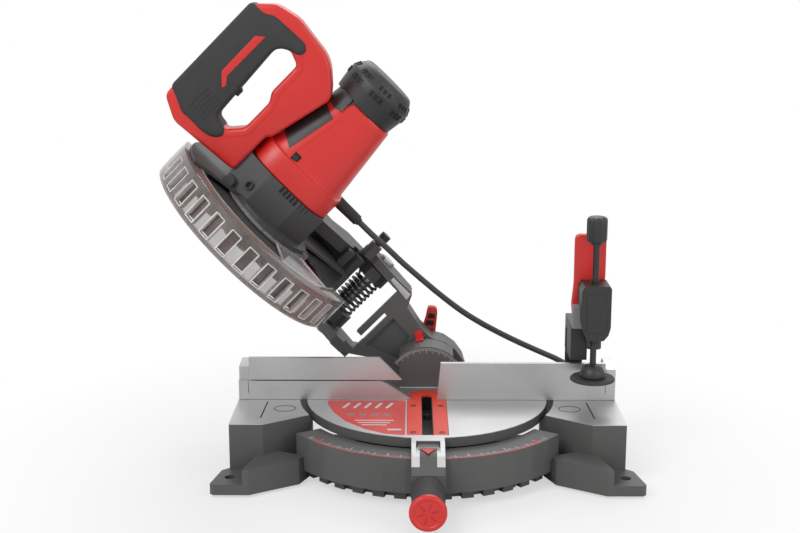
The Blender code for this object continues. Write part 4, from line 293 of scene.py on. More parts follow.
# the clear guard: smoky, browner where it is thick, more opaque when seen edge on
SMOKE = Finish("smoked_clear", (0.20, 0.175, 0.16), 0.10, coat_weight=0.6)
smoke_tone = SMOKE.noise(34.0, 4.0)
SMOKE.set("Base Color", SMOKE.mix(smoke_tone, (0.10, 0.075, 0.062, 1), (0.42, 0.39, 0.37, 1)))
edge_on = SMOKE.node("ShaderNodeLayerWeight", inputs={"Blend": 0.35}, output="Facing")
SMOKE.set("Alpha", edge_on * 0.45 + smoke_tone * 0.35 + 0.24)
SMOKE.bump(SMOKE.noise(120.0, 2.0), 0.05)
CLEAR = Finish("clear_window", (0.55, 0.55, 0.55), 0.08, coat_weight=0.5)
CLEAR.set("Alpha", CLEAR.noise(40.0, 2.0) * 0.2 + 0.22)


# meshes
def piece(name, points, faces, finish, body, slot=None, merge=1e-6, smooth=38.0):
    """A mesh piece: welded, its faces turned outwards, smooth up to an angle, riding on a body."""
    mesh = bpy.data.meshes.new(name)
    mesh.from_pydata(np.asarray(points).reshape(-1, 3).tolist(), [], [tuple(f) for f in faces])
    bm = bmesh.new()
    bm.from_mesh(mesh)
    bmesh.ops.remove_doubles(bm, verts=bm.verts, dist=merge)
    bmesh.ops.recalc_face_normals(bm, faces=bm.faces)
    bm.to_mesh(mesh)
    bm.free()
    mesh.materials.append(finish.material)
    mesh.shade_smooth()
    mesh.set_sharp_from_angle(angle=math.radians(smooth))
    made = bpy.data.objects.new(name, mesh)
    bpy.context.scene.collection.objects.link(made)
    if body is not None:
        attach(made, body)
    return made


def grid_faces(rows, columns, wrap_rows=False, wrap_columns=True, first=0):
    """Quads between the neighbours of a grid of points, as index arrays."""
    i = np.arange(rows if wrap_rows else rows - 1)
    j = np.arange(columns if wrap_columns else columns - 1)
    i, j = np.meshgrid(i, j, indexing="ij")
    i2, j2 = (i + 1) % rows, (j + 1) % columns
    quads = np.stack([i * columns + j, i * columns + j2, i2 * columns + j2, i2 * columns + j], -1)
    return (quads.reshape(-1, 4) + first).tolist()


def collect(parts):
    """Several (points, faces) as one."""
    points, faces, count = [], [], 0
    for some, quads in parts:
        some = np.asarray(some).reshape(-1, 3)
        points.append(some)
        faces += [[k + count for k in quad] for quad in quads]
        count += len(some)
    return np.concatenate(points), faces


def soft_loop(corners, bend, steps=5):
    """A closed outline whose corners are quadratic curves starting `bend` before each corner."""
    p = np.asarray(corners, float)
    before, after = np.roll(p, 1, 0) - p, np.roll(p, -1, 0) - p
    lb = np.linalg.norm(before, axis=1, keepdims=True)
    la = np.linalg.norm(after, axis=1, keepdims=True)
    bend = np.broadcast_to(np.asarray(bend, float), (len(p),))[:, None]
    start = p + before / lb * np.minimum(bend, 0.46 * lb)
    end = p + after / la * np.minimum(bend, 0.46 * la)
    t = np.linspace(0, 1, steps)[None, :, None]
    curve = (1 - t) ** 2 * start[:, None] + 2 * t * (1 - t) * p[:, None] + t ** 2 * end[:, None]
    return curve.reshape(-1, 2)


def outward(loop):
    """Unit normals of a closed outline, pointing out of it."""
    along_it = np.roll(loop, -1, 0) - np.roll(loop, 1, 0)
    normal = np.stack([along_it[:, 1], -along_it[:, 0]], 1)
    normal /= np.maximum(np.linalg.norm(normal, axis=1, keepdims=True), 1e-9)
    area = np.sum(loop[:, 0] * np.roll(loop[:, 1], -1) - np.roll(loop[:, 0], -1) * loop[:, 1])
    return normal * np.sign(area)


def plate_parts(loops, low, high, edge, axis, steps=4):
    """A flat plate between two values, its rim a quarter circle of radius `edge` at both faces.

    The first outline is the outer one; the others are holes. Caps are filled from the rims' last rings.
    """
    t = np.linspace(0, math.pi / 2, steps)
    inset = np.concatenate([edge * (1 - np.cos(t[::-1])), edge * (1 - np.cos(t))])
    level = np.concatenate([low + edge * (1 - np.sin(t[::-1])), high - edge * (1 - np.sin(t))])
    parts, rims, count = [], [], 0
    for k, loop in enumerate(loops):
        loop = np.asarray(loop, float)
        side = outward(loop) * (-1 if k == 0 else 1)
        rings = loop[None] + side[None] * inset[:, None, None]
        points = along(axis, rings[..., 0], rings[..., 1], level[:, None] + 0 * rings[..., 0])
        parts.append((points, grid_faces(len(inset), len(loop))))
        rims.append((count, len(loop), len(inset)))
        count += points.shape[0] * points.shape[1]
    points, faces = collect(parts)
    flat = bpy.data.meshes.new("rims")
    flat.from_pydata(points.tolist(), [], [])
    bm = bmesh.new()
    bm.from_mesh(flat)
    bpy.data.meshes.remove(flat)
    bm.verts.ensure_lookup_table()
    for layer in (0, -1):
        edges = []
        for first, size, rows in rims:
            start = first + (0 if layer == 0 else (rows - 1) * size)
            for j in range(size):
                edges.append(bm.edges.new((bm.verts[start + j], bm.verts[start + (j + 1) % size])))
        filled = bmesh.ops.triangle_fill(bm, use_beauty=True, edges=edges)
        faces += [[v.index for v in f.verts] for f in filled["geom"] if isinstance(f, bmesh.types.BMFace)]
    bm.free()
    return points, faces


def plate(name, loops, low, high, edge, axis, where, finish, body, slot=None):
    """A flat plate as one mesh piece: the outlines' rounded rims and filled faces, placed by a function."""
    points, faces = plate_parts(loops, low, high, edge, axis)
    return piece(name, where(points), faces, finish, body, slot)


def turned_parts(axis, at, profile, sides=64, wrap=False):
    """A profile of (radius, place) carried once round an axis."""
    profile = np.asarray(profile, float)
    angle = np.linspace(0, 2 * math.pi, sides, endpoint=False)
    r, s = profile[:, 0][:, None], profile[:, 1][:, None] + 0 * angle[None]
    points = along(axis, at[0] + r * np.cos(angle), at[1] + r * np.sin(angle), s)
    return points, grid_faces(len(profile), sides, wrap_rows=wrap)


def turned(name, axis, at, profile, where, finish, body, slot=None, sides=64, wrap=False):
    """A lathed piece: a profile of (radius, place) carried once round an axis."""
    points, faces = turned_parts(axis, at, profile, sides, wrap)
    return piece(name, where(points), faces, finish, body, slot)


def swept_parts(axis, at, profile, start, end, steps):
    """A closed profile of (radius, place) carried round part of a circle, with both ends filled."""
    profile = np.asarray(profile, float)
    angle = np.radians(np.linspace(start, end, steps + 1))[:, None]
    r = profile[:, 0][None]
    s = profile[:, 1][None] + 0 * angle
    points = along(axis, at[0] + r * np.cos(angle), at[1] + r * np.sin(angle), s)
    faces = grid_faces(steps + 1, len(profile))
    faces.append(list(range(len(profile))))
    faces.append(list(range(steps * len(profile), (steps + 1) * len(profile))))
    return points, faces


def round_arbor(profile, low, high, steps):
    """The same round the blade's arbor, its angles counted from the front up."""
    return swept_parts("X", ARBOR, profile, 180.0 - low, 180.0 - high, steps)


def circle(x, y, radius, start=0.0, end=360.0, steps=32, closed=True):
    """Points x + r cos(angle), y + r sin(angle) over part or all of a turn."""
    count = steps if closed else steps + 1
    angle = np.radians(start + (end - start) * np.arange(count) / steps)
    return np.stack([x + radius * np.cos(angle), y + radius * np.sin(angle)], 1)


def tube_parts(path, radius, sides=14, caps=True):
    """A round section carried along a path, its own frame turned as little as possible."""
    path = np.asarray(path, float)
    ahead = np.gradient(path, axis=0)
    ahead /= np.linalg.norm(ahead, axis=1, keepdims=True)
    side = np.cross(ahead[0], (0.0, 0.0, 1.0))
    if np.linalg.norm(side) < 0.1:
        side = np.cross(ahead[0], (0.0, 1.0, 0.0))
    sides_list = []
    for direction in ahead:
        side = side - direction * np.dot(side, direction)
        side = side / np.linalg.norm(side)
        sides_list.append(side)
    across = np.array(sides_list)
    up = np.cross(ahead, across)
    radius = np.broadcast_to(np.asarray(radius, float), (len(path),))[:, None, None]
    angle = np.linspace(0, 2 * math.pi, sides, endpoint=False)[None, :, None]
    points = path[:, None] + radius * (across[:, None] * np.cos(angle) + up[:, None] * np.sin(angle))
    faces = grid_faces(len(path), sides)
    if caps:
        faces.append(list(range(sides)))
        faces.append(list(range((len(path) - 1) * sides, len(path) * sides)))
    return points, faces


def finish_node(finish, *names):
    """Give solids of the frame a finish."""
    for name in names:
        NODES[name].data.materials.clear()
        NODES[name].data.materials.append(finish.material)


# camera, light and floor
def stage_and_camera():
    """The photograph's camera, three soft lamps, a white surround and a pale floor."""
    scene = bpy.context.scene
    scene.view_settings.view_transform = "Standard"
    camera = bpy.data.cameras.new("camera")
    camera.lens = 59.3
    camera.sensor_width = 36.0
    holder = bpy.data.objects.new("camera", camera)
    holder.location = (0.01834, -1.3267, 0.5125)
    holder.rotation_euler = (math.radians(90.0 - 12.47), 0.0, math.radians(0.5))
    scene.collection.objects.link(holder)
    scene.camera = holder

    world = bpy.data.worlds.new("studio")
    scene.world = world
    world.use_nodes = True
    tree = world.node_tree
    back = tree.nodes["Background"]
    rays = tree.nodes.new("ShaderNodeLightPath")
    seen = None
    for kind in ("Is Camera Ray", "Is Glossy Ray", "Is Transmission Ray"):
        if seen is None:
            seen = rays.outputs[kind]
            continue
        most = tree.nodes.new("ShaderNodeMath")
        most.operation = "MAXIMUM"
        tree.links.new(seen, most.inputs[0])
        tree.links.new(rays.outputs[kind], most.inputs[1])
        seen = most.outputs[0]
    strength = tree.nodes.new("ShaderNodeMapRange")
    strength.inputs["To Min"].default_value = 0.42
    strength.inputs["To Max"].default_value = 1.0
    tree.links.new(seen, strength.inputs["Value"])
    tree.links.new(strength.outputs[0], back.inputs["Strength"])
    back.inputs["Color"].default_value = (1.0, 1.0, 1.0, 1.0)

    for name, place, aim, size, power in (
        ("key", (-1.1, -1.3, 1.7), (0.0, 0.0, 0.2), 1.1, 23.0),
        ("fill", (1.5, -1.1, 1.0), (0.0, 0.0, 0.2), 1.3, 9.0),
        ("back", (0.2, 1.4, 1.7), (0.0, 0.0, 0.25), 1.2, 14.0),
    ):
        lamp = bpy.data.lights.new(name, "AREA")
        lamp.size = size
        lamp.energy = power
        stand = bpy.data.objects.new(name, lamp)
        stand.location = place
        stand.rotation_euler = (Vector(aim) - Vector(place)).to_track_quat("-Z", "Y").to_euler()
        scene.collection.objects.link(stand)

    floor_finish = Finish("pale_floor", (0.86, 0.86, 0.86), 0.9)
    out = floor_finish.tree.nodes["Material Output"]
    glow = floor_finish.tree.nodes.new("ShaderNodeEmission")
    glow.inputs["Color"].default_value = (1.0, 1.0, 1.0, 1.0)
    blend = floor_finish.tree.nodes.new("ShaderNodeMixShader")
    path = floor_finish.node("ShaderNodeLightPath")
    x, y, _ = floor_finish.split(floor_finish.coordinates())
    away = floor_finish.node("ShaderNodeMath", {"operation": "SQRT"}, {0: x * x + y * y})
    far = floor_finish.node("ShaderNodeMapRange", inputs={"Value": away, "From Min": 0.22, "From Max": 0.50})
    floor_finish.feed(blend.inputs[0], path * (far * 0.42 + 0.58))
    floor_finish.tree.links.new(floor_finish.shader.outputs[0], blend.inputs[1])
    floor_finish.tree.links.new(glow.outputs[0], blend.inputs[2])
    floor_finish.tree.links.new(blend.outputs[0], out.inputs["Surface"])
    floor = piece(
        "floor", [(-6, -6, 0), (6, -6, 0), (6, 6, 0), (-6, 6, 0)], [(0, 1, 2, 3)], floor_finish, None,
    )


# cord
CORD_R = 0.0033
CORD_ROUTE = (
    (-0.0735, 0.0380, 0.2495), (-0.0655, 0.0380, 0.2415),
    (-0.0570, 0.0390, 0.2330), (-0.0440, 0.0440, 0.2200),
    (-0.0270, 0.0510, 0.2020), (-0.0070, 0.0590, 0.1825), (0.0150, 0.0670, 0.1620), (0.0385, 0.0745, 0.1420),
    (0.0605, 0.0800, 0.1265), (0.0840, 0.0845, 0.1125), (0.1080, 0.0870, 0.1000), (0.1315, 0.0890, 0.0888),
    (0.1540, 0.0930, 0.0775), (0.1730, 0.1010, 0.0630), (0.1850, 0.1130, 0.0450), (0.1885, 0.1290, 0.0250),
    (0.1840, 0.1480, 0.0105), (0.1745, 0.1680, 0.0045), (0.1625, 0.1880, 0.0034), (0.1545, 0.2020, 0.0034),
    (0.1530, 0.2110, 0.0034), (0.1530, 0.2197, 0.0034),
)
COIL = (0.104, 0.228)
COIL_R = 0.049
COIL_PITCH = 0.0083
COIL_CLIMB = 0.0077
COIL_TURNS = 2.5
LEAD = 0.008
END_LEAD = 0.036


def smooth_route(route, count):
    """Evenly spaced points on a Catmull-Rom curve through the route's own points."""
    p = np.asarray(route, float)
    p = np.vstack([2 * p[0] - p[1], p, 2 * p[-1] - p[-2]])
    t = np.linspace(0, 1, 24, endpoint=False)[None, :, None]
    a, b, c, d = (p[k:len(p) - 3 + k, None] for k in range(4))
    curve = 0.5 * (
        2 * b + (c - a) * t + (2 * a - 5 * b + 4 * c - d) * t ** 2 + (3 * b - a - 3 * c + d) * t ** 3
    )
    curve = np.vstack([curve.reshape(-1, 3), p[-2:-1]])
    run = np.concatenate([[0], np.cumsum(np.linalg.norm(np.diff(curve, axis=0), axis=1))])
    even = np.linspace(0, run[-1], count)
    return np.stack([np.interp(even, run, curve[:, k]) for k in range(3)], 1)


def coil_route():
    """Two layers of turns: a spiral inwards, half a turn that climbs a layer, a spiral outwards."""
    total = 2 * COIL_TURNS + 0.5
    turn = np.linspace(0, total, int(total * 40) + 1)
    inward = np.minimum(turn, COIL_TURNS)
    outward_ = np.maximum(turn - COIL_TURNS - 0.5, 0)
    climb = np.clip(turn - COIL_TURNS, 0, 0.5) * 2
    radius = COIL_R - COIL_PITCH * (inward - outward_)
    angle = 2 * math.pi * turn
    height = CORD_R + 0.0001 + COIL_CLIMB * climb ** 2 * (3 - 2 * climb)
    points = np.stack([COIL[0] + radius * np.cos(angle), COIL[1] + radius * np.sin(angle), height], 1)
    lead = np.linspace(1, 0, 5)[:-1, None] * (0, -LEAD, 0) + points[0]
    tail = points[-1] + np.linspace(0, 1, 10)[1:, None] * (0, -END_LEAD, 0)
    return np.vstack([lead, points, tail])


def cords():
    """The lead in three runs, each across one joint, and the plug at its end."""
    route = smooth_route(np.array(CORD_ROUTE) + SHIFT, 150)
    coil = coil_route() + SHIFT
    cuts = (0, 44, 84, len(route) - 1)
    runs = [route[cuts[0]:cuts[1] + 1], route[cuts[1]:cuts[2] + 1], np.vstack([route[cuts[2]:], coil[1:]])]
    names = ("lead_upper", "lead_middle", "lead_lower")
    ends = (("head", "arm"), ("arm", "table"), ("table", "base"))
    for k, (name, path, bodies) in enumerate(zip(names, runs, ends)):
        points, faces = tube_parts(path, CORD_R, 16)
        tube = piece(name, points, faces, CORD, None if k < 3 else bodies[1], "black_plastic", smooth=60.0)
        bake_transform(tube)
    plug = plug_piece(coil[-1])
    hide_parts("cord_stretch")
    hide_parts("cord_coil")


def plug_piece(end):
    """A moulded two-pin plug: rounded sections along Y, then a neck; the pins are round."""
    x, y, z = end
    y -= 0.0003
    stations = [
        (0.0, 0.0048, 0.0048), (0.004, 0.0052, 0.0052), (0.011, 0.0062, 0.0060), (0.0145, 0.0095, 0.0080),
        (0.020, 0.0150, 0.0096), (0.034, 0.0182, 0.0101), (0.044, 0.0186, 0.0101), (0.0495, 0.0176, 0.0098),
        (0.0515, 0.0150, 0.0085),
    ]
    angle = np.linspace(0, 2 * math.pi, 40, endpoint=False)
    cosine, sine = np.cos(angle), np.sin(angle)
    rings = []
    for back, wide, tall in stations:
        power = 0.62 if wide > 0.009 else 1.0
        rings.append(np.stack([
            x + wide * np.sign(cosine) * np.abs(cosine) ** power, y - back + 0 * angle,
            z + 0.0001 + tall * np.sign(sine) * np.abs(sine) ** power,
        ], 1))
    rings = np.array(rings)
    rings[..., 2] = np.maximum(rings[..., 2], 0.0004)
    body = (
        rings,
        grid_faces(len(stations), 40) + [
            list(range(40)), list(range(40 * (len(stations) - 1), 40 * len(stations))),
        ],
    )
    shape = piece("plug_body", *collect([body]), BLACK, "base", "black_plastic")
    pins = []
    for side in (1, -1):
        pins.append(turned_parts("Y", (x + side * 0.0095, z), [
            (0.0, y - 0.0705), (0.0014, y - 0.0705), (0.0023, y - 0.0690),
            (0.0024, y - 0.0510), (0.0, y - 0.0510),
        ], 20))
    piece("plug_pins", *collect(pins), STEEL, "base", "steel")
    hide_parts("plug")
    return shape


def strain_relief():
    """A smooth sleeve round the lead where it leaves the motor, its axis down in the head."""
    s = np.linspace(0, 1, 61)
    radius = 0.0066 - 0.0006 * s - 0.0016 * (s > 0.93)
    h = 0.2165 - 0.0325 * s
    profile = [(0.0, 0.2165), (0.0074, 0.2165)] + list(zip(radius, h)) + [(0.0034, 0.184), (0.0, 0.1842)]
    relief = turned("lead_relief", "Z", (0.080, 0.038), profile, on_head, RUBBER, "head", "black_plastic", 28)
    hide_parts("strain_relief")


stage_and_camera()
cords()
strain_relief()


# head: motor
COLLAR = (0.0613, 0.0860)
SHROUD_END = 0.172
SHROUD_HALF = (0.0490, 0.0345)
SHROUD_END_H = 0.265
SHROUD_POWER = 3.2


def section(x, half, middle, power, sides=96):
    """Superellipse |y/half|^p + |h/half|^p = 1 round the motor's axis, at one place along it."""
    angle = np.linspace(0, 2 * math.pi, sides, endpoint=False)
    c, s = np.cos(angle), np.sin(angle)
    y = middle[0] + half * np.sign(c) * np.abs(c) ** (2 / power)
    h = middle[1] + half * np.sign(s) * np.abs(s) ** (2 / power)
    return np.stack([x + 0 * angle, y, h], 1)


def shroud_at(x):
    """Half size and centre height of the tapering shroud at a place along its axis."""
    share = np.clip((np.asarray(x) - COLLAR[1]) / (SHROUD_END - COLLAR[1]), 0, 1)
    half = SHROUD_HALF[0] + (SHROUD_HALF[1] - SHROUD_HALF[0]) * share
    return half, MOTOR[1] + (SHROUD_END_H - MOTOR[1]) * share


def shroud_front(x, h, lift):
    """Y of the shroud's front surface over a point (x, h), moved out by a lift."""
    half, middle = shroud_at(x)
    share = np.clip(np.abs((np.asarray(h) - middle) / half), 0, 0.999)
    return MOTOR[0] - half * (1 - share ** SHROUD_POWER) ** (1 / SHROUD_POWER) - lift


def motor_cover():
    """Collar with rolled edges, a step, then the shroud that tapers to the cap: sections along the axis."""
    stations = []
    for x, half in ((0.0613, 0.0505), (0.0617, 0.0518), (0.0628, 0.0525), (0.0846, 0.0525), (0.0857, 0.0520),
                    (0.0861, 0.0508), (0.0862, 0.0494), (0.0868, 0.0491)):
        stations.append((x, half, MOTOR[1]))
    for x in np.linspace(0.089, 0.1705, 20):
        half, middle = shroud_at(x)
        stations.append((x, float(half), float(middle)))
    stations += [
        (0.1716, 0.0341, SHROUD_END_H), (0.1720, 0.0330, SHROUD_END_H), (0.1720, 0.0290, SHROUD_END_H),
    ]
    rings = np.array([section(x, half, (MOTOR[0], h), SHROUD_POWER) for x, half, h in stations])
    count = rings.shape[1]
    faces = grid_faces(len(rings), count)
    faces += [list(range(count)), list(range((len(rings) - 1) * count, len(rings) * count))]
    cover = piece("motor_cover", on_head(rings), faces, RED, "head", "red_plastic", smooth=30.0)
    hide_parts("motor_housing")


def patch(name, corners, lift, thick, finish, slot, divisions=14):
    """A thin plate bent over the shroud: a quadrilateral's bilinear grid, set on the surface."""
    c = np.asarray(corners, float)
    s, t = np.meshgrid(np.linspace(0, 1, divisions), np.linspace(0, 1, divisions), indexing="ij")
    s, t = s[..., None], t[..., None]
    flat = c[0] * (1 - s) * (1 - t) + c[1] * s * (1 - t) + c[2] * s * t + c[3] * (1 - s) * t
    x, h = flat[..., 0], flat[..., 1]
    layers = [np.stack([x, shroud_front(x, h, out), h], -1) for out in (lift, lift + thick)]
    points, faces = [], []
    n = divisions
    border = [i * n for i in range(n)] + [(n - 1) * n + j for j in range(1, n)]
    border += [i * n + n - 1 for i in range(n - 2, -1, -1)] + [j for j in range(n - 2, 0, -1)]
    for k, layer in enumerate(layers):
        points.append(layer.reshape(-1, 3))
        faces += grid_faces(n, n, wrap_columns=False, first=k * n * n)
    faces += [[a, b, b + n * n, a + n * n] for a, b in zip(border, border[1:] + border[:1])]
    return piece(name, on_head(np.concatenate(points)), faces, finish, "head", slot, smooth=25.0)


def motor_trim():
    """The bare name plate and crease bent over the shroud, and its two screws in their pockets, each pocket a
    near-black plate of painted shade.
    """
    plate_corners = ((0.105, 0.321), (0.154, 0.3085), (0.146, 0.285), (0.093, 0.296))
    patch("name_plate", plate_corners, -0.0004, 0.0011, BLACK, "black_plastic")
    patch(
        "shroud_crease_low", ((0.094, 0.2905), (0.150, 0.2795), (0.150, 0.2785), (0.094, 0.2885)),
        -0.0006, 0.0011, RED, "red_plastic", 10,
    )
    heads, pockets = [], []
    for x, h in ((0.0953, 0.3135), (0.0905, 0.2840)):
        y = float(shroud_front(x, h, 0.0))
        pockets.append(
            plate_parts(
                [soft_loop([(x - 0.0048, h - 0.0042), (x + 0.0048, h - 0.0042), (x + 0.0048, h + 0.0042), (x - 0.0048, h + 0.0042)], 0.0015)], y - 0.0007, y + 0.004, 0.0003, "Y",
            )
        )
        heads.append(turned_parts("Y", (x, h), [
            (0.0, y - 0.0012), (0.0014, y - 0.0012), (0.0014, y - 0.0022),
            (0.0024, y - 0.0024), (0.0030, y - 0.0019), (0.0031, y), (0.0, y),
        ], 24))
    points, faces = collect(pockets)
    piece("screw_pocket_shade", on_head(points), faces, SHADE_AND_OUTLINE_BLACK, "head", "black_plastic")
    points, faces = collect(heads)
    piece("shroud_screws", on_head(points), faces, SCREW, "head", "black_plastic")


def motor_end():
    """Round black cap: a lathed shell with two staggered rows of vent slots, let in as near-black plates of painted
    shade, each with a raised rib beside it.
    """
    profile = [(0.0, 0.2130), (0.0285, 0.2130), (0.0305, 0.2122), (0.0335, 0.2085), (0.0375, 0.2020), (0.0392, 0.1995),
               (0.0395, 0.1980), (0.0395, 0.1905), (0.0391, 0.1885),
               (0.0377, 0.1790), (0.0370, 0.1740), (0.0367, 0.1724), (0.0, 0.1724)]
    cap = turned("motor_end_cap", "X", MOTOR, profile, on_head, BLACK, "head", "black_plastic", 96)
    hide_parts("motor_cap")
    slots = []
    for low, high, shift in ((0.1895, 0.1955, 0.0), (0.1990, 0.2055, 5.0)):
        for group in range(8):
            for k in range(3):
                middle = group * 45.0 + shift + (k - 1) * 9.0
                r = [0.0398, 0.0398] if high < 0.197 else [0.0394, 0.0357]
                slots.append(swept_parts("X", MOTOR, [
                    (r[0] - 0.002, low), (r[0] - 0.0001, low), (r[1] + 0.0001, high), (r[1] - 0.002, high),
                ], middle - 2.6, middle + 2.6, 2))
                ridge = [
                    (r[0] - 0.002, low - 0.0004), (r[0] + 0.0005, low - 0.0004),
                    (r[1] + 0.0007, high + 0.0004), (r[1] - 0.002, high + 0.0004),
                ]
                slots.append(swept_parts("X", MOTOR, ridge, middle + 3.0, middle + 4.6, 1))
    points, faces = collect(slots[0::2])
    piece("cap_vent_shade", on_head(points), faces, SHADE_AND_OUTLINE_BLACK, "head", "black_plastic")
    points, faces = collect(slots[1::2])
    piece("cap_vent_ribs", on_head(points), faces, BLACK, "head", "black_plastic")
    sleeve = [section(x, half, (MOTOR[0], h), 3.0) for x, half, h in (
        (0.156, 0.0375, 0.2657), (0.1565, 0.0382, 0.2657), (0.1722, 0.0368, 0.2650), (0.1740, 0.0360, 0.2650),
        (0.1745, 0.0310, 0.2650), (0.158, 0.0310, 0.2657),
    )]
    rings = np.array(sleeve)
    upper = rings.copy()
    upper[..., 2] = np.maximum(upper[..., 2], 0.284)
    piece(
        "cap_sleeve", on_head(upper), grid_faces(len(upper), 96, wrap_rows=True),
        BLACK, "head", "black_plastic", merge=2e-5,
    )
    patch(
        "cap_sleeve_front", ((0.1560, 0.3030), (0.1722, 0.2995), (0.1722, 0.2790), (0.1545, 0.2895)),
        -0.0004, 0.0014, BLACK, "black_plastic",
    )


# head: handle
def shares(table, wide=0.195, tall=0.425):
    return np.asarray(table, float) * (wide, tall)


HANDLE = shares((
    (0.175, 0.7550), (0.431, 0.7550), (0.4462, 0.7445), (0.810, 0.7060), (0.864, 0.7250), (0.942, 0.7640),
    (0.969, 0.7906), (1.0, 0.8965), (0.969, 0.9576), (0.877, 1.0), (0.215, 1.0), (0.144, 0.9412),
))
OPENING = shares((
    (0.318, 0.8776), (0.308, 0.8376), (0.385, 0.8071), (0.574, 0.8071), (0.620, 0.8212),
    (0.815, 0.8212), (0.846, 0.8565), (0.815, 0.8800), (0.774, 0.8894),
))
GRIP = shares((
    (0.892, 1.0038), (0.888, 0.9640), (0.921, 0.9425), (0.925, 0.9140), (0.932, 0.8414), (0.903, 0.8282),
    (0.869, 0.8300), (0.850, 0.8447), (0.850, 0.8570), (0.818, 0.8790), (0.775, 0.8878), (0.322, 0.8762),
    (0.311, 0.8412), (0.272, 0.8285), (0.224, 0.8475), (0.210, 0.8780), (0.215, 0.9235), (0.208, 0.9405),
    (0.258, 0.9850), (0.271, 1.0038),
))


def handle():
    """The red D-handle, its opening's rim chamfered, and the soft black grip moulded over its bar."""
    outer = soft_loop(HANDLE, 0.006)
    opening = soft_loop(OPENING, 0.004)
    body = plate(
        "handle_body", [outer, opening], -0.0168, 0.0168, 0.0042, "Y", on_head, RED, "head", "red_plastic",
    )
    side = outward(opening)
    for face, name in ((-1, "front"), (1, "back")):
        levels = (0.0165, 0.0172, 0.0172, 0.0165)
        spreads = (0.0060, 0.0066, 0.0082, 0.0088)
        rings = np.array(
            [
                along("Y", *(opening + side * w).T, face * lv + 0 * opening[:, 0]) for w,
                lv in zip(spreads, levels)
            ]
        )
        piece(
            "handle_bead_" + name, on_head(rings),
            grid_faces(4, len(opening), wrap_rows=True), RED, "head", "red_plastic",
        )
    grip_loop = soft_loop(GRIP, 0.006, 6)
    grip = plate("soft_grip", [grip_loop], -0.0194, 0.0194, 0.0038, "Y", on_head, RUBBER, "head", "soft_grip")
    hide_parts("handle_shell")
    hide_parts("grip_cover")
    stripe = (
        (0.1509, 0.3997), (0.1581, 0.3915), (0.1015, 0.3921),
        (0.0934, 0.3859), (0.0887, 0.3877), (0.1012, 0.3996),
    )
    for face, name in ((-1, "front"), (1, "back")):
        low, high = sorted((face * 0.0150, face * 0.0199))
        plate(
            "grip_inlay_" + name, [soft_loop(stripe, 0.0012)], low,
            high, 0.0004, "Y", on_head, RED, "head", "red_plastic",
        )
        ribs = []
        for k in range(5):
            h = 0.3990 - 0.0048 * k
            left = 0.051 + 0.0008 * k
            curve = [
                (left, h), (left + 0.013, h + 0.0012), (0.079, h - 0.0008),
                (0.079, h - 0.0022), (left + 0.013, h - 0.0003), (left, h - 0.0014),
            ]
            low, high = sorted((face * 0.0180, face * 0.0199))
            ribs.append(plate_parts([soft_loop(curve, 0.0004)], low, high, 0.0003, "Y"))
        points, faces = collect(ribs)
        piece("grip_ribs_" + name, on_head(points), faces, RUBBER, "head", "soft_grip")


# head: hood, case and guard
HOOD_FRONT = 146.0
GUARD_TOP = 92.0


def trimmed_case():
    """The gear case without the front of its hood: a welded copy less a sector of a ring round the arbor."""
    mesh = NODES["gear_case"].data.copy()
    bm = bmesh.new()
    bm.from_mesh(mesh)
    bmesh.ops.remove_doubles(bm, verts=bm.verts, dist=1e-6)
    bm.to_mesh(mesh)
    bm.free()
    case = bpy.data.objects.new("trimmed_case", mesh)
    bpy.context.scene.collection.objects.link(case)
    profile = [(0.1127, -0.030), (0.1360, -0.030), (0.1360, 0.030), (0.1127, 0.030)]
    points, faces = round_arbor(profile, 52.0, HOOD_FRONT, 48)
    cutter = piece("hood_cutter", on_head(points), faces, SHADE_AND_OUTLINE_BLACK, None)
    less = case.modifiers.new("less", "BOOLEAN")
    less.operation = "DIFFERENCE"
    less.solver = "EXACT"
    less.object = cutter
    graph = bpy.context.evaluated_depsgraph_get()
    cut = bpy.data.meshes.new_from_object(case.evaluated_get(graph))
    case.modifiers.clear()
    case.data = cut
    cut.materials.clear()
    cut.materials.append(HEAD_PAINT.material)
    bpy.data.objects.remove(cutter)
    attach(case, "head")
    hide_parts("gear_case")


def blade_cover():
    """The thin fixed cover over the blade's top between the clear guard and the hood."""
    profile = [(0.1085, -0.0165), (0.1118, -0.0165), (0.1125, -0.0158), (0.1125, 0.0140), (0.1085, 0.0140)]
    points, faces = round_arbor(profile, 72.0, HOOD_FRONT + 6.0, 40)
    piece("blade_cover", on_head(points), faces, HEAD_PAINT, "head", "grey_paint")


def case_nose():
    """The case's front: a prism whose facets stand clear of the gear inside."""
    outline = [
        (-0.0140, 0.2900), (-0.0236, 0.2895), (-0.0236, 0.2470),
        (-0.0036, 0.2162), (0.0118, 0.2162), (0.0, 0.2300),
    ]
    plate(
        "case_nose", [soft_loop(outline, 0.0012)], 0.0197, 0.0608,
        0.0008, "X", on_head, HEAD_PAINT, "head", "grey_paint",
    )
def hood_skin():
    """The hood's rounded rim and its bead: closed profiles carried round the arbor."""
    profile = [
        (0.1297, -0.02315), (0.13018, -0.0226), (0.13018, 0.0218),
        (0.1297, 0.02235), (0.1285, 0.02235), (0.1285, -0.02315),
    ]
    points, faces = round_arbor(profile, HOOD_FRONT + 0.3, 239.5, 64)
    piece("hood_skin", on_head(points), faces, HEAD_PAINT, "head", "grey_paint")
    points, faces = round_arbor([(0.1217, 0.0223), (0.1225, 0.0231), (0.1240, 0.0231), (0.1248, 0.0223)], HOOD_FRONT + 1.0, 238.0, 64)
    piece("hood_bead", on_head(points), faces, HEAD_PAINT, "head", "grey_paint")


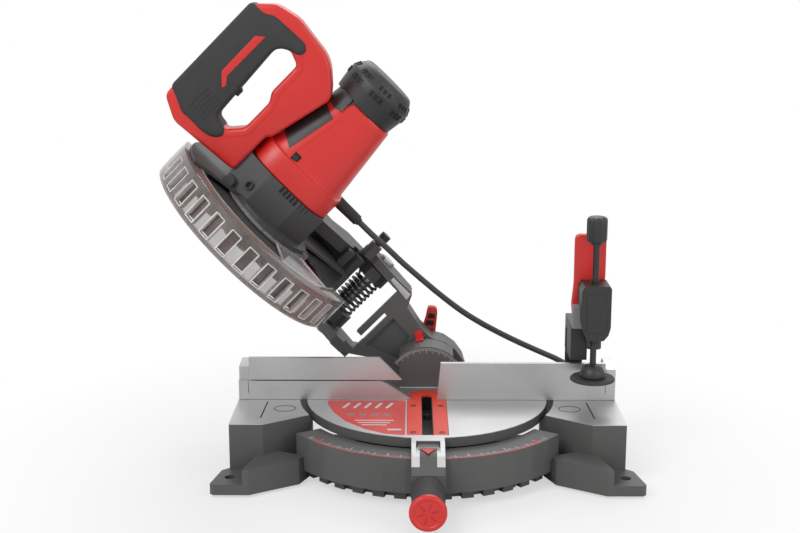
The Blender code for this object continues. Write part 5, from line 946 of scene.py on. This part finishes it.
def case_trim():
    """A column of vent slots on the case's front facet, drawn as near-black plates of painted shade, and the oval boss
    above them.
    """
    slots = []
    for k in range(8):
        h = 0.2360 + 0.0048 * k
        y = -0.0236 + max(0.0, 0.247 - h) * 0.65
        slots.append(
            plate_parts(
                [soft_loop([(0.0535, h), (0.0608, h), (0.0608, h + 0.0030), (0.0535, h + 0.0030)], 0.0008)],
                y - 0.0005, y + 0.002, 0.0002, "Y",
            )
        )
    points, faces = collect(slots)
    piece("case_vent_shade", on_head(points), faces, SHADE_AND_OUTLINE_BLACK, "head", "grey_paint")
    boss = circle(0.0, 0.0, 1.0) * (0.0052, 0.0042) + (0.0365, 0.2990)
    hole = circle(0.0, 0.0, 1.0) * (0.0034, 0.0026) + (0.0365, 0.2990)
    plate("case_boss", [boss, hole], -0.0240, -0.0180, 0.0004, "Y", on_head, HEAD_PAINT, "head", "grey_paint")


def guard():
    """Clear guard: side walls and rim strips carried round the arbor, with bars between the windows, a dark sheet of
    painted shade behind each window and pale painted highlight on the window lips and web edges.
    """
    strips = [
        [
            (0.1045, -0.0210), (0.1178, -0.0210), (0.1190, -0.0203), (0.1190, -0.0150),
            (0.1175, -0.0150), (0.1175, -0.0193), (0.1045, -0.0196),
        ],
        [
            (0.1000, 0.0187), (0.1180, 0.0187), (0.1190, 0.0180), (0.1190, 0.0110),
            (0.1175, 0.0110), (0.1175, 0.0171), (0.1000, 0.0171),
        ],
    ]
    parts = [round_arbor(profile, -77.0, GUARD_TOP, 84) for profile in strips]
    starts = [-77.0] + [-60.0 + 11.5 * i + 2.9 for i in range(12)]
    ends = [-60.0 + 11.5 * i - 2.9 for i in range(12)] + [GUARD_TOP]
    bar = [(0.1174, -0.0150), (0.1189, -0.0150), (0.1189, 0.0110), (0.1174, 0.0110)]
    parts += [round_arbor(bar, a, b, max(2, int((b - a) / 2))) for a, b in zip(starts, ends)]
    lips = []
    for a, b in zip(starts, ends):
        for edge in (a, b):
            lips.append(
                round_arbor(
                    [(0.1130, -0.0152), (0.1194, -0.0152), (0.1194, 0.0112), (0.1130, 0.0112)],
                    edge - 0.35, edge + 0.35, 1,
                )
            )
    for middle in np.arange(12) * 11.5 - 60.0:
        for x0, x1 in ((-0.0158, -0.0148), (0.0108, 0.0118)):
            lips.append(
                round_arbor(
                    [(0.1130, x0), (0.1194, x0), (0.1194, x1), (0.1130, x1)], middle - 3.0, middle + 3.0, 3,
                )
            )
    points, faces = collect(parts)
    rim = piece("guard_rim", on_head(points), faces, SMOKE, "guard", "smoked_clear")
    points, faces = collect(lips)
    piece("guard_window_lips", on_head(points), faces, HIGHLIGHT_EDGE, "guard", "smoked_clear")
    # dark sheets just inside each window: painted shade standing in for the view into the guard's dark inside
    window_shades = [
        round_arbor([(0.1126, -0.0140), (0.1134, -0.0140), (0.1134, 0.0100), (0.1126, 0.0100)], m - 2.6, m + 2.6, 3) for m in np.arange(12) * 11.5 - 60.0
    ]
    points, faces = collect(window_shades)
    piece("guard_window_shade", on_head(points), faces, WINDOW_SHADE, "guard", "smoked_clear")
    web = [
        round_arbor(
            [(0.0515, 0.0172), (0.1015, 0.0172), (0.1015, 0.0185), (0.0515, 0.0185)], -63.0, -20.0, 30,
        )
    ]
    web.append(
        round_arbor([(0.0502, 0.0170), (0.0578, 0.0170), (0.0578, 0.0187), (0.0502, 0.0187)], 0.0, 360.0, 96)
    )
    points, faces = collect(web)
    piece("guard_web", on_head(points), faces, CLEAR, "guard", "smoked_clear")
    edges = [
        round_arbor([(0.0570, 0.0168), (0.1010, 0.0168), (0.1010, 0.0189), (0.0570, 0.0189)], a, a + 0.6, 1) for a in (
            -63.0, -20.6,
        )
    ]
    edges.append(
        round_arbor(
            [(0.0993, 0.0168), (0.1004, 0.0168), (0.1004, 0.0189), (0.0993, 0.0189)],
            -76.5, GUARD_TOP - 0.5, 84,
        )
    )
    points, faces = collect(edges)
    piece("guard_web_edges", on_head(points), faces, HIGHLIGHT_EDGE, "guard", "smoked_clear")
    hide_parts("lower_guard")


# painted highlight: pale grey for the edges of the guard's window lips and clear web, standing in for light caught on
# the clear plastic's edges
HIGHLIGHT_EDGE = Finish("painted_highlight_edge", (0.66, 0.64, 0.62), 0.16, coat_weight=0.5)
HIGHLIGHT_EDGE.set("Base Color", HIGHLIGHT_EDGE.mix(HIGHLIGHT_EDGE.noise(90.0, 3.0), (0.40, 0.37, 0.35, 1), (0.86, 0.85, 0.84, 1)))
# painted shade: dark brown with a random tone, for the sheets behind the guard's windows
WINDOW_SHADE = Finish("painted_shade_window", (0.05, 0.036, 0.03), 0.22, coat_weight=0.5)
WINDOW_SHADE.set(
    "Base Color",
    WINDOW_SHADE.mix(WINDOW_SHADE.noise(70.0, 4.0), (0.020, 0.015, 0.013, 1), (0.24, 0.17, 0.15, 1)),
)
WINDOW_SHADE.bump(WINDOW_SHADE.noise(220.0, 2.0), 0.3)

motor_cover()
motor_trim()
motor_end()
handle()
trimmed_case()
hood_skin()
blade_cover()
case_nose()
case_trim()
guard()


# table, ring and base
def flat_marks(name, boxes, low, high, finish, body, slot):
    """Many thin bars in one mesh: each is (radius in, radius out, half width, angle from the front)."""
    r0, r1, half, angle = np.asarray(boxes, float).T
    a = np.radians(angle)
    out = np.stack([np.sin(a), -np.cos(a)], 1)
    side = np.stack([np.cos(a), np.sin(a)], 1)
    corners = []
    for r, w in ((r0, -1), (r0, 1), (r1, 1), (r1, -1)):
        corners.append(out * r[:, None] + side * (w * half)[:, None])
    flat = np.stack(corners, 1)
    points = np.concatenate(
        [np.concatenate([flat, np.full(flat.shape[:2] + (1,), z)], 2) for z in (low, high)], 1
    )
    box = np.array([(0, 1, 2, 3), (4, 5, 6, 7), (0, 1, 5, 4), (1, 2, 6, 5), (2, 3, 7, 6), (3, 0, 4, 7)])
    faces = (box[None] + 8 * np.arange(len(points))[:, None, None]).reshape(-1, 4).tolist()
    return piece(name, on_base(points), faces, finish, body, slot, smooth=20.0)


def ring_scale():
    """The ring's graduations, one bar a degree, with its red line, end marks and stop marks."""
    marks = []
    for degree in range(-50, 51):
        long = 0.1500 if degree % 15 == 0 else (0.1525 if degree % 5 == 0 else 0.1550)
        marks.append((long, 0.1588, 0.00050 if degree % 5 == 0 else 0.00026, degree))
    flat_marks("ring_ticks", marks, 0.0518, 0.05212, PALE, "base", "grey_paint")
    points, faces = swept_parts("Z", (0.0, 0.0), [(0.1594, 0.0518), (0.1606, 0.0518), (0.1606, 0.05214), (0.1594, 0.05214)], 270.0 - 44.0, 270.0 + 44.0, 88)
    piece("ring_red_line", on_base(points), faces, RED, "base", "red_plastic")
    marks = [(0.1525, 0.1605, 0.0017, side * 44.6) for side in (1, -1)]
    flat_marks("ring_end_marks", marks, 0.0518, 0.05218, RED, "base", "red_plastic")
    marks = [(0.1540, 0.1552, 0.0012, d) for d in (-45, -31.6, -22.5, -15, 0, 15, 22.5, 31.6, 45)]
    flat_marks("ring_stop_marks", marks, 0.0518, 0.05218, PALE, "base", "grey_paint")


def wing_trim():
    """A thin oval outline, left bare inside, and a straight groove on each wing, the groove a near-black plate of
    painted shade.
    """
    labels, grooves = [], []
    for side in (1, -1):
        oval = circle(side * 0.151, -0.040, 1.0)
        oval = (oval - (side * 0.151, -0.040)) * (0.0118, 0.0100) + (side * 0.151, -0.040)
        inner = (oval - (side * 0.151, -0.040)) * (0.93, 0.90) + (side * 0.151, -0.040)
        labels.append(plate_parts([oval, inner], TABLE_Z - 0.0004, TABLE_Z + 0.00015, 0.00005, "Z"))
        a, b = (side * 0.1716, -0.018), (side * 0.1736, -0.071)
        grooves.append(
            plate_parts(
                [soft_loop([(a[0] - 0.0007, a[1]), (a[0] + 0.0007, a[1]), (b[0] + 0.0007, b[1]), (b[0] - 0.0007, b[1])], 0.0003)], TABLE_Z - 0.0008, TABLE_Z + 0.0001, 0.00003, "Z",
            )
        )
    points, faces = collect(labels)
    piece("wing_labels", on_base(points), faces, SHADE_AND_OUTLINE_BLACK, "base", "grey_paint")
    points, faces = collect(grooves)
    piece("wing_groove_shade", on_base(points), faces, SHADE_AND_OUTLINE_BLACK, "base", "grey_paint")


def decal():
    """A plain red sticker on the table's left half, with grey and white bars of a generic design."""
    outline = [
        (-0.107, -0.0125), (-0.1065, -0.024), (-0.099, -0.051), (-0.085, -0.080),
        (-0.064, -0.104), (-0.043, -0.1185), (-0.0228, -0.1235), (-0.0228, -0.0125),
    ]
    plate(
        "table_sticker", [soft_loop(outline, 0.004, 6)], TABLE_Z - 0.0002,
        TABLE_Z + 0.00012, 0.00004, "Z", on_base, STICKER, "table", "red_plastic",
    )
    bars = []
    def bar(x, y, length, width, turn):
        c, s = math.cos(math.radians(turn)), math.sin(math.radians(turn))
        quad = [
            (-length / 2, -width / 2), (length / 2, -width / 2),
            (length / 2, width / 2), (-length / 2, width / 2),
        ]
        bars.append(
            plate_parts(
                [soft_loop([(x + a * c - b * s, y + a * s + b * c) for a, b in quad], width * 0.2)],
                TABLE_Z - 0.0001, TABLE_Z + 0.00022, 0.00003, "Z"
            )
        )
    for k in range(5):
        bar(-0.086 + 0.0115 * k, -0.030, 0.0035, 0.019, -20.0)
    for k in range(4):
        bar(-0.080 + 0.0125 * k, -0.060, 0.0075, 0.006, 0.0)
    for k in range(3):
        bar(-0.055, -0.078 - 0.007 * k, 0.040 - 0.007 * k, 0.0022, 0.0)
    bar(-0.034, -0.106, 0.014, 0.004, 0.0)
    points, faces = collect(bars[:5] + bars[9:])
    piece("sticker_white_bars", on_base(points), faces, WHITE_MARK, "table", "red_plastic")
    points, faces = collect(bars[5:9])
    piece("sticker_grey_blocks", on_base(points), faces, GREY, "table", "red_plastic")


def kerf_trim():
    """Four lathed screw heads with a socket, two at each end of the kerf plate."""
    screws = []
    for x, y in ((0.0145, -0.114), (-0.0145, -0.114), (0.0145, -0.030), (-0.0145, -0.030)):
        screws.append(turned_parts("Z", (x, y), [
            (0.0, TABLE_Z - 0.0012), (0.0033, TABLE_Z - 0.0012),
            (0.0033, TABLE_Z + 0.0001), (0.0029, TABLE_Z + 0.0003),
            (0.0014, TABLE_Z + 0.0003), (0.0012, TABLE_Z - 0.0006), (0.0, TABLE_Z - 0.0006),
        ], 24))
    points, faces = collect(screws)
    piece("kerf_screws", on_base(points), faces, SCREW, "table", "steel")


def drum_scale():
    """The tilt scale on the drum's face: radial bars two degrees apart, longer every tenth."""
    marks = []
    for degree in range(-50, 51, 2):
        a = math.radians(degree)
        reach = 0.0400 if degree % 10 == 0 else 0.0425
        for r, w in ((reach, 0.00025), (0.0458, 0.00025)):
            marks.append((math.sin(a) * r, TABLE_Z + math.cos(a) * r, math.cos(a) * w, -math.sin(a) * w))
    bars = []
    for k in range(0, len(marks), 2):
        (x0, z0, dx, dz), (x1, z1, _, _) = marks[k], marks[k + 1]
        bars.append(
            plate_parts(
                [np.array([(x0 - dx, z0 - dz), (x0 + dx, z0 + dz), (x1 + dx, z1 + dz), (x1 - dx, z1 - dz)])],
                0.03385, 0.0342, 0.00002, "Y",
            )
        )
    points, faces = collect(bars)
    piece("drum_ticks", on_base(points), faces, PALE, "table", "grey_paint")


def grip_and_knob():
    """The waisted front grip and the red cap at its end, lathed, with six darker red marks on the cap's face, painted
    shade in its recessed lines.
    """
    at = (-0.001, 0.0255)
    grip = turned("table_grip", "Y", at, [
        (0.0, -0.1793), (0.0157, -0.1794), (0.0164, -0.1802),
        (0.0165, -0.1830), (0.0160, -0.1880), (0.0149, -0.1960),
        (0.0145, -0.2025), (0.0148, -0.2070), (0.0160, -0.2130),
        (0.0165, -0.2220), (0.0166, -0.2268), (0.0160, -0.2275), (0.0, -0.2275),
    ], on_base, RUBBER, "table", "black_plastic", 80)
    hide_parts("front_grip")
    knob = turned("lock_cap", "Y", at, [
        (0.0, -0.2279), (0.0170, -0.2279), (0.0178, -0.2283),
        (0.0180, -0.2290), (0.0180, -0.2312), (0.0177, -0.2325),
        (0.0167, -0.2335), (0.0150, -0.2340), (0.0138, -0.2337), (0.0130, -0.2329), (0.0, -0.2326),
    ], on_base, RED, "knob", "red_plastic", 80)
    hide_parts("lock_knob")
    # six darker red plates on the cap's face: painted shade in its recessed lines
    grooves = []
    for k in range(6):
        a = math.radians(60 * k + 15)
        c, s = math.cos(a), math.sin(a)
        quad = [(0.0035, -0.0008), (0.0105, -0.0011), (0.0105, 0.0011), (0.0035, 0.0008)]
        grooves.append(
            plate_parts(
                [soft_loop([(at[0] + u * c - v * s, at[1] + u * s + v * c) for u, v in quad], 0.0005)],
                -0.2330, -0.2320, 0.0001, "Y"
            )
        )
    points, faces = collect(grooves)
    piece("lock_cap_groove_shade", on_base(points), faces, GROOVE_SHADE_RED, "knob", "red_plastic")


def bevel_handle():
    """The red bevel lever: a curved flat lever with three pockets in its front, their hollows painted shade in
    near-black.
    """
    outline = [(-0.0125, 0.0620), (-0.0080, 0.0960), (-0.0055, 0.1080), (-0.0005, 0.1225), (0.0025, 0.1368),
               (0.0090, 0.1366), (0.0130, 0.1345), (0.0135, 0.1285),
               (0.0103, 0.0970), (0.0125, 0.0620), (0.0, 0.0502)]
    made = plate(
        "bevel_handle", [soft_loop(outline, 0.003)], 0.1096, 0.1192,
        0.0012, "Y", on_base, RED, BODY["bevel_lever"], "red_plastic",
    )
    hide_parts("bevel_lever")
    pockets = []
    for quad in (
        [(0.0035, 0.1290), (0.0102, 0.1280), (0.0103, 0.1224), (0.0022, 0.1232)],
        [(0.0012, 0.1210), (0.0098, 0.1200), (0.0088, 0.1141), (-0.0003, 0.1150)],
        [(-0.0010, 0.1110), (0.0084, 0.1100), (0.0077, 0.1014), (-0.0026, 0.1024)],
    ):
        pockets.append(plate_parts([soft_loop(quad, 0.0008)], 0.1094, 0.1110, 0.0001, "Y"))
    points, faces = collect(pockets)
    piece("bevel_handle_pocket_shade", on_base(points), faces, SHADE_AND_OUTLINE_BLACK, BODY["bevel_lever"], "red_plastic")


def arm_trim():
    """The stop lug, its six-sided nut and the machined edge on the tilt arm."""
    lug = soft_loop([(0.0215, 0.1450), (0.0440, 0.1450), (0.0440, 0.1670), (0.0215, 0.1670)], 0.003)
    plate("stop_lug", [lug], 0.0790, 0.1040, 0.0012, "Y", on_head, HEAD_PAINT, "head", "grey_paint")
    nut = circle(0.0, 0.0, 0.0078, 0, 360, 6)
    points, faces = plate_parts([soft_loop(nut + (0.0915, 0.1560), 0.0008, 3)], 0.0435, 0.0495, 0.0006, "X")
    piece("stop_nut", on_head(points), faces, SCREW, "head", "steel")
    plate(
        "arm_machined_edge",
        [soft_loop([(0.0485, 0.0800), (0.0566, 0.0812), (0.0566, 0.1090), (0.0520, 0.1090)], 0.001)],
        0.0716, 0.0730, 0.0002, "Y", on_head, FENCE, "arm", "grey_paint",
    )


# clamp
def clamp_trim():
    """The clamp's lever, its fluted knob r (1 + 0.035 cos 10 angle), cup, pad and front panel."""
    table = (
        (0.06, 0.0), (0.30, 0.0), (0.42, 0.25), (0.95, 0.42), (1.0, 0.50), (1.0, 0.96),
        (0.94, 1.0), (0.14, 1.0), (0.06, 0.96), (0.06, 0.45), (0.0, 0.20),
    )
    outline = np.asarray(table) * (0.035, 0.095) + (0.153, 0.152)
    lever = plate(
        "clamp_handle", [soft_loop(outline, 0.0035)], -0.0178, -0.0082,
        0.0020, "Y", on_base, RED, "squeeze", "red_plastic",
    )
    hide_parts("clamp_lever")
    at = (0.1745, -0.038)
    angle = np.linspace(0, 2 * math.pi, 96, endpoint=False)
    rings = []
    for z, r in ((0.2406, 0.0), (0.2406, 0.0058), (0.2425, 0.0062), (0.2440, 0.0095), (0.2460, 0.0104), (0.2660, 0.0104),
                 (0.2685, 0.0098), (0.2699, 0.0080), (0.2699, 0.0)):
        radius = r * (1 + (0.035 if r > 0.009 else 0.0) * np.cos(10 * angle))
        rings.append(
            np.stack([at[0] + radius * np.cos(angle), at[1] + radius * np.sin(angle), z + 0 * angle], 1)
        )
    knob = piece(
        "rod_knob", on_base(np.array(rings)), grid_faces(len(rings), 96), BLACK, "hold_down", "black_plastic",
    )
    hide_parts("clamp_knob")
    cup = turned("clamp_cup", "Z", at, [
        (0.0, 0.0981), (0.0125, 0.0981), (0.0134, 0.0990),
        (0.0135, 0.1010), (0.0126, 0.1050), (0.0104, 0.1085),
        (0.0072, 0.1110), (0.0050, 0.1120), (0.0, 0.1121),
    ], on_base, BLACK, "pad" if BODY["clamp_swivel"] == "pad" else "hold_down", "black_plastic", 72)
    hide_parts("clamp_swivel")
    disc = turned("clamp_disc", "Z", at, [
        (0.0, 0.0949), (0.0228, 0.0949), (0.0235, 0.0954), (0.0235, 0.0968), (0.0228, 0.0977), (0.0, 0.0977),
    ], on_base, RUBBER, "pad", "grey_plastic", 96)
    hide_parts("clamp_pad")
    pocket = [soft_loop([(0.1645, 0.1490), (0.1845, 0.1490), (0.1845, 0.1900), (0.1645, 0.1900)], 0.003)]
    plate("clamp_front_panel", pocket, -0.0527, -0.0510, 0.0003, "Y", on_base, BLACK, "base", "black_plastic")


PALE = Finish("pale_mark", (0.50, 0.50, 0.49), 0.5)
PALE.set("Base Color", PALE.mix(PALE.noise(80.0, 2.0), (0.36, 0.36, 0.36, 1), (0.58, 0.58, 0.57, 1)))
STICKER = moulded("red_sticker", (0.60, 0.040, 0.034), 0.38, 2400.0, 0.04, 0.06)
BODY = {node: body for body, nodes in frame["record"]["behaviour"]["bodies"].items() for node in nodes}

ring_scale()
wing_trim()
decal()
kerf_trim()
drum_scale()
grip_and_knob()
bevel_handle()
arm_trim()
clamp_trim()

finish_node(BASE, "base_casting")
finish_node(TABLE, "turntable")
finish_node(PAINT, "bevel_arm")
finish_node(FENCE, "fence_left", "fence_right", "sliding_fence")
finish_node(BLADE, "saw_blade")
finish_node(COPPER, "armature")
finish_node(KERF_RED, "kerf_plate")
finish_node(RED, "mitre_pointer", "bevel_pointer")
finish_node(CLEAR, "scale_window")
finish_node(GREY, "motor_fan", "clamp_release")
finish_node(
    RUBBER, "foot_pad_front_left", "foot_pad_front_right", "foot_pad_rear_left", "foot_pad_rear_right",
)
finish_node(BLACK, "detent_lever", "transport_lock_pin", "trigger", "clamp_body", "brush_top", "brush_bottom")
finish_node(
    STEEL, "pivot_bolt", "bevel_bolt", "hinge_pin", "blade_bolt", "inner_flange", "outer_flange", "spindle",
    "spindle_gear", "spindle_bearing", "stator", "armature_front_bearing", "armature_rear_bearing",
)
finish_node(SCREW, "torsion_spring", "lock_pin_spring", "clamp_post", "clamp_rod")
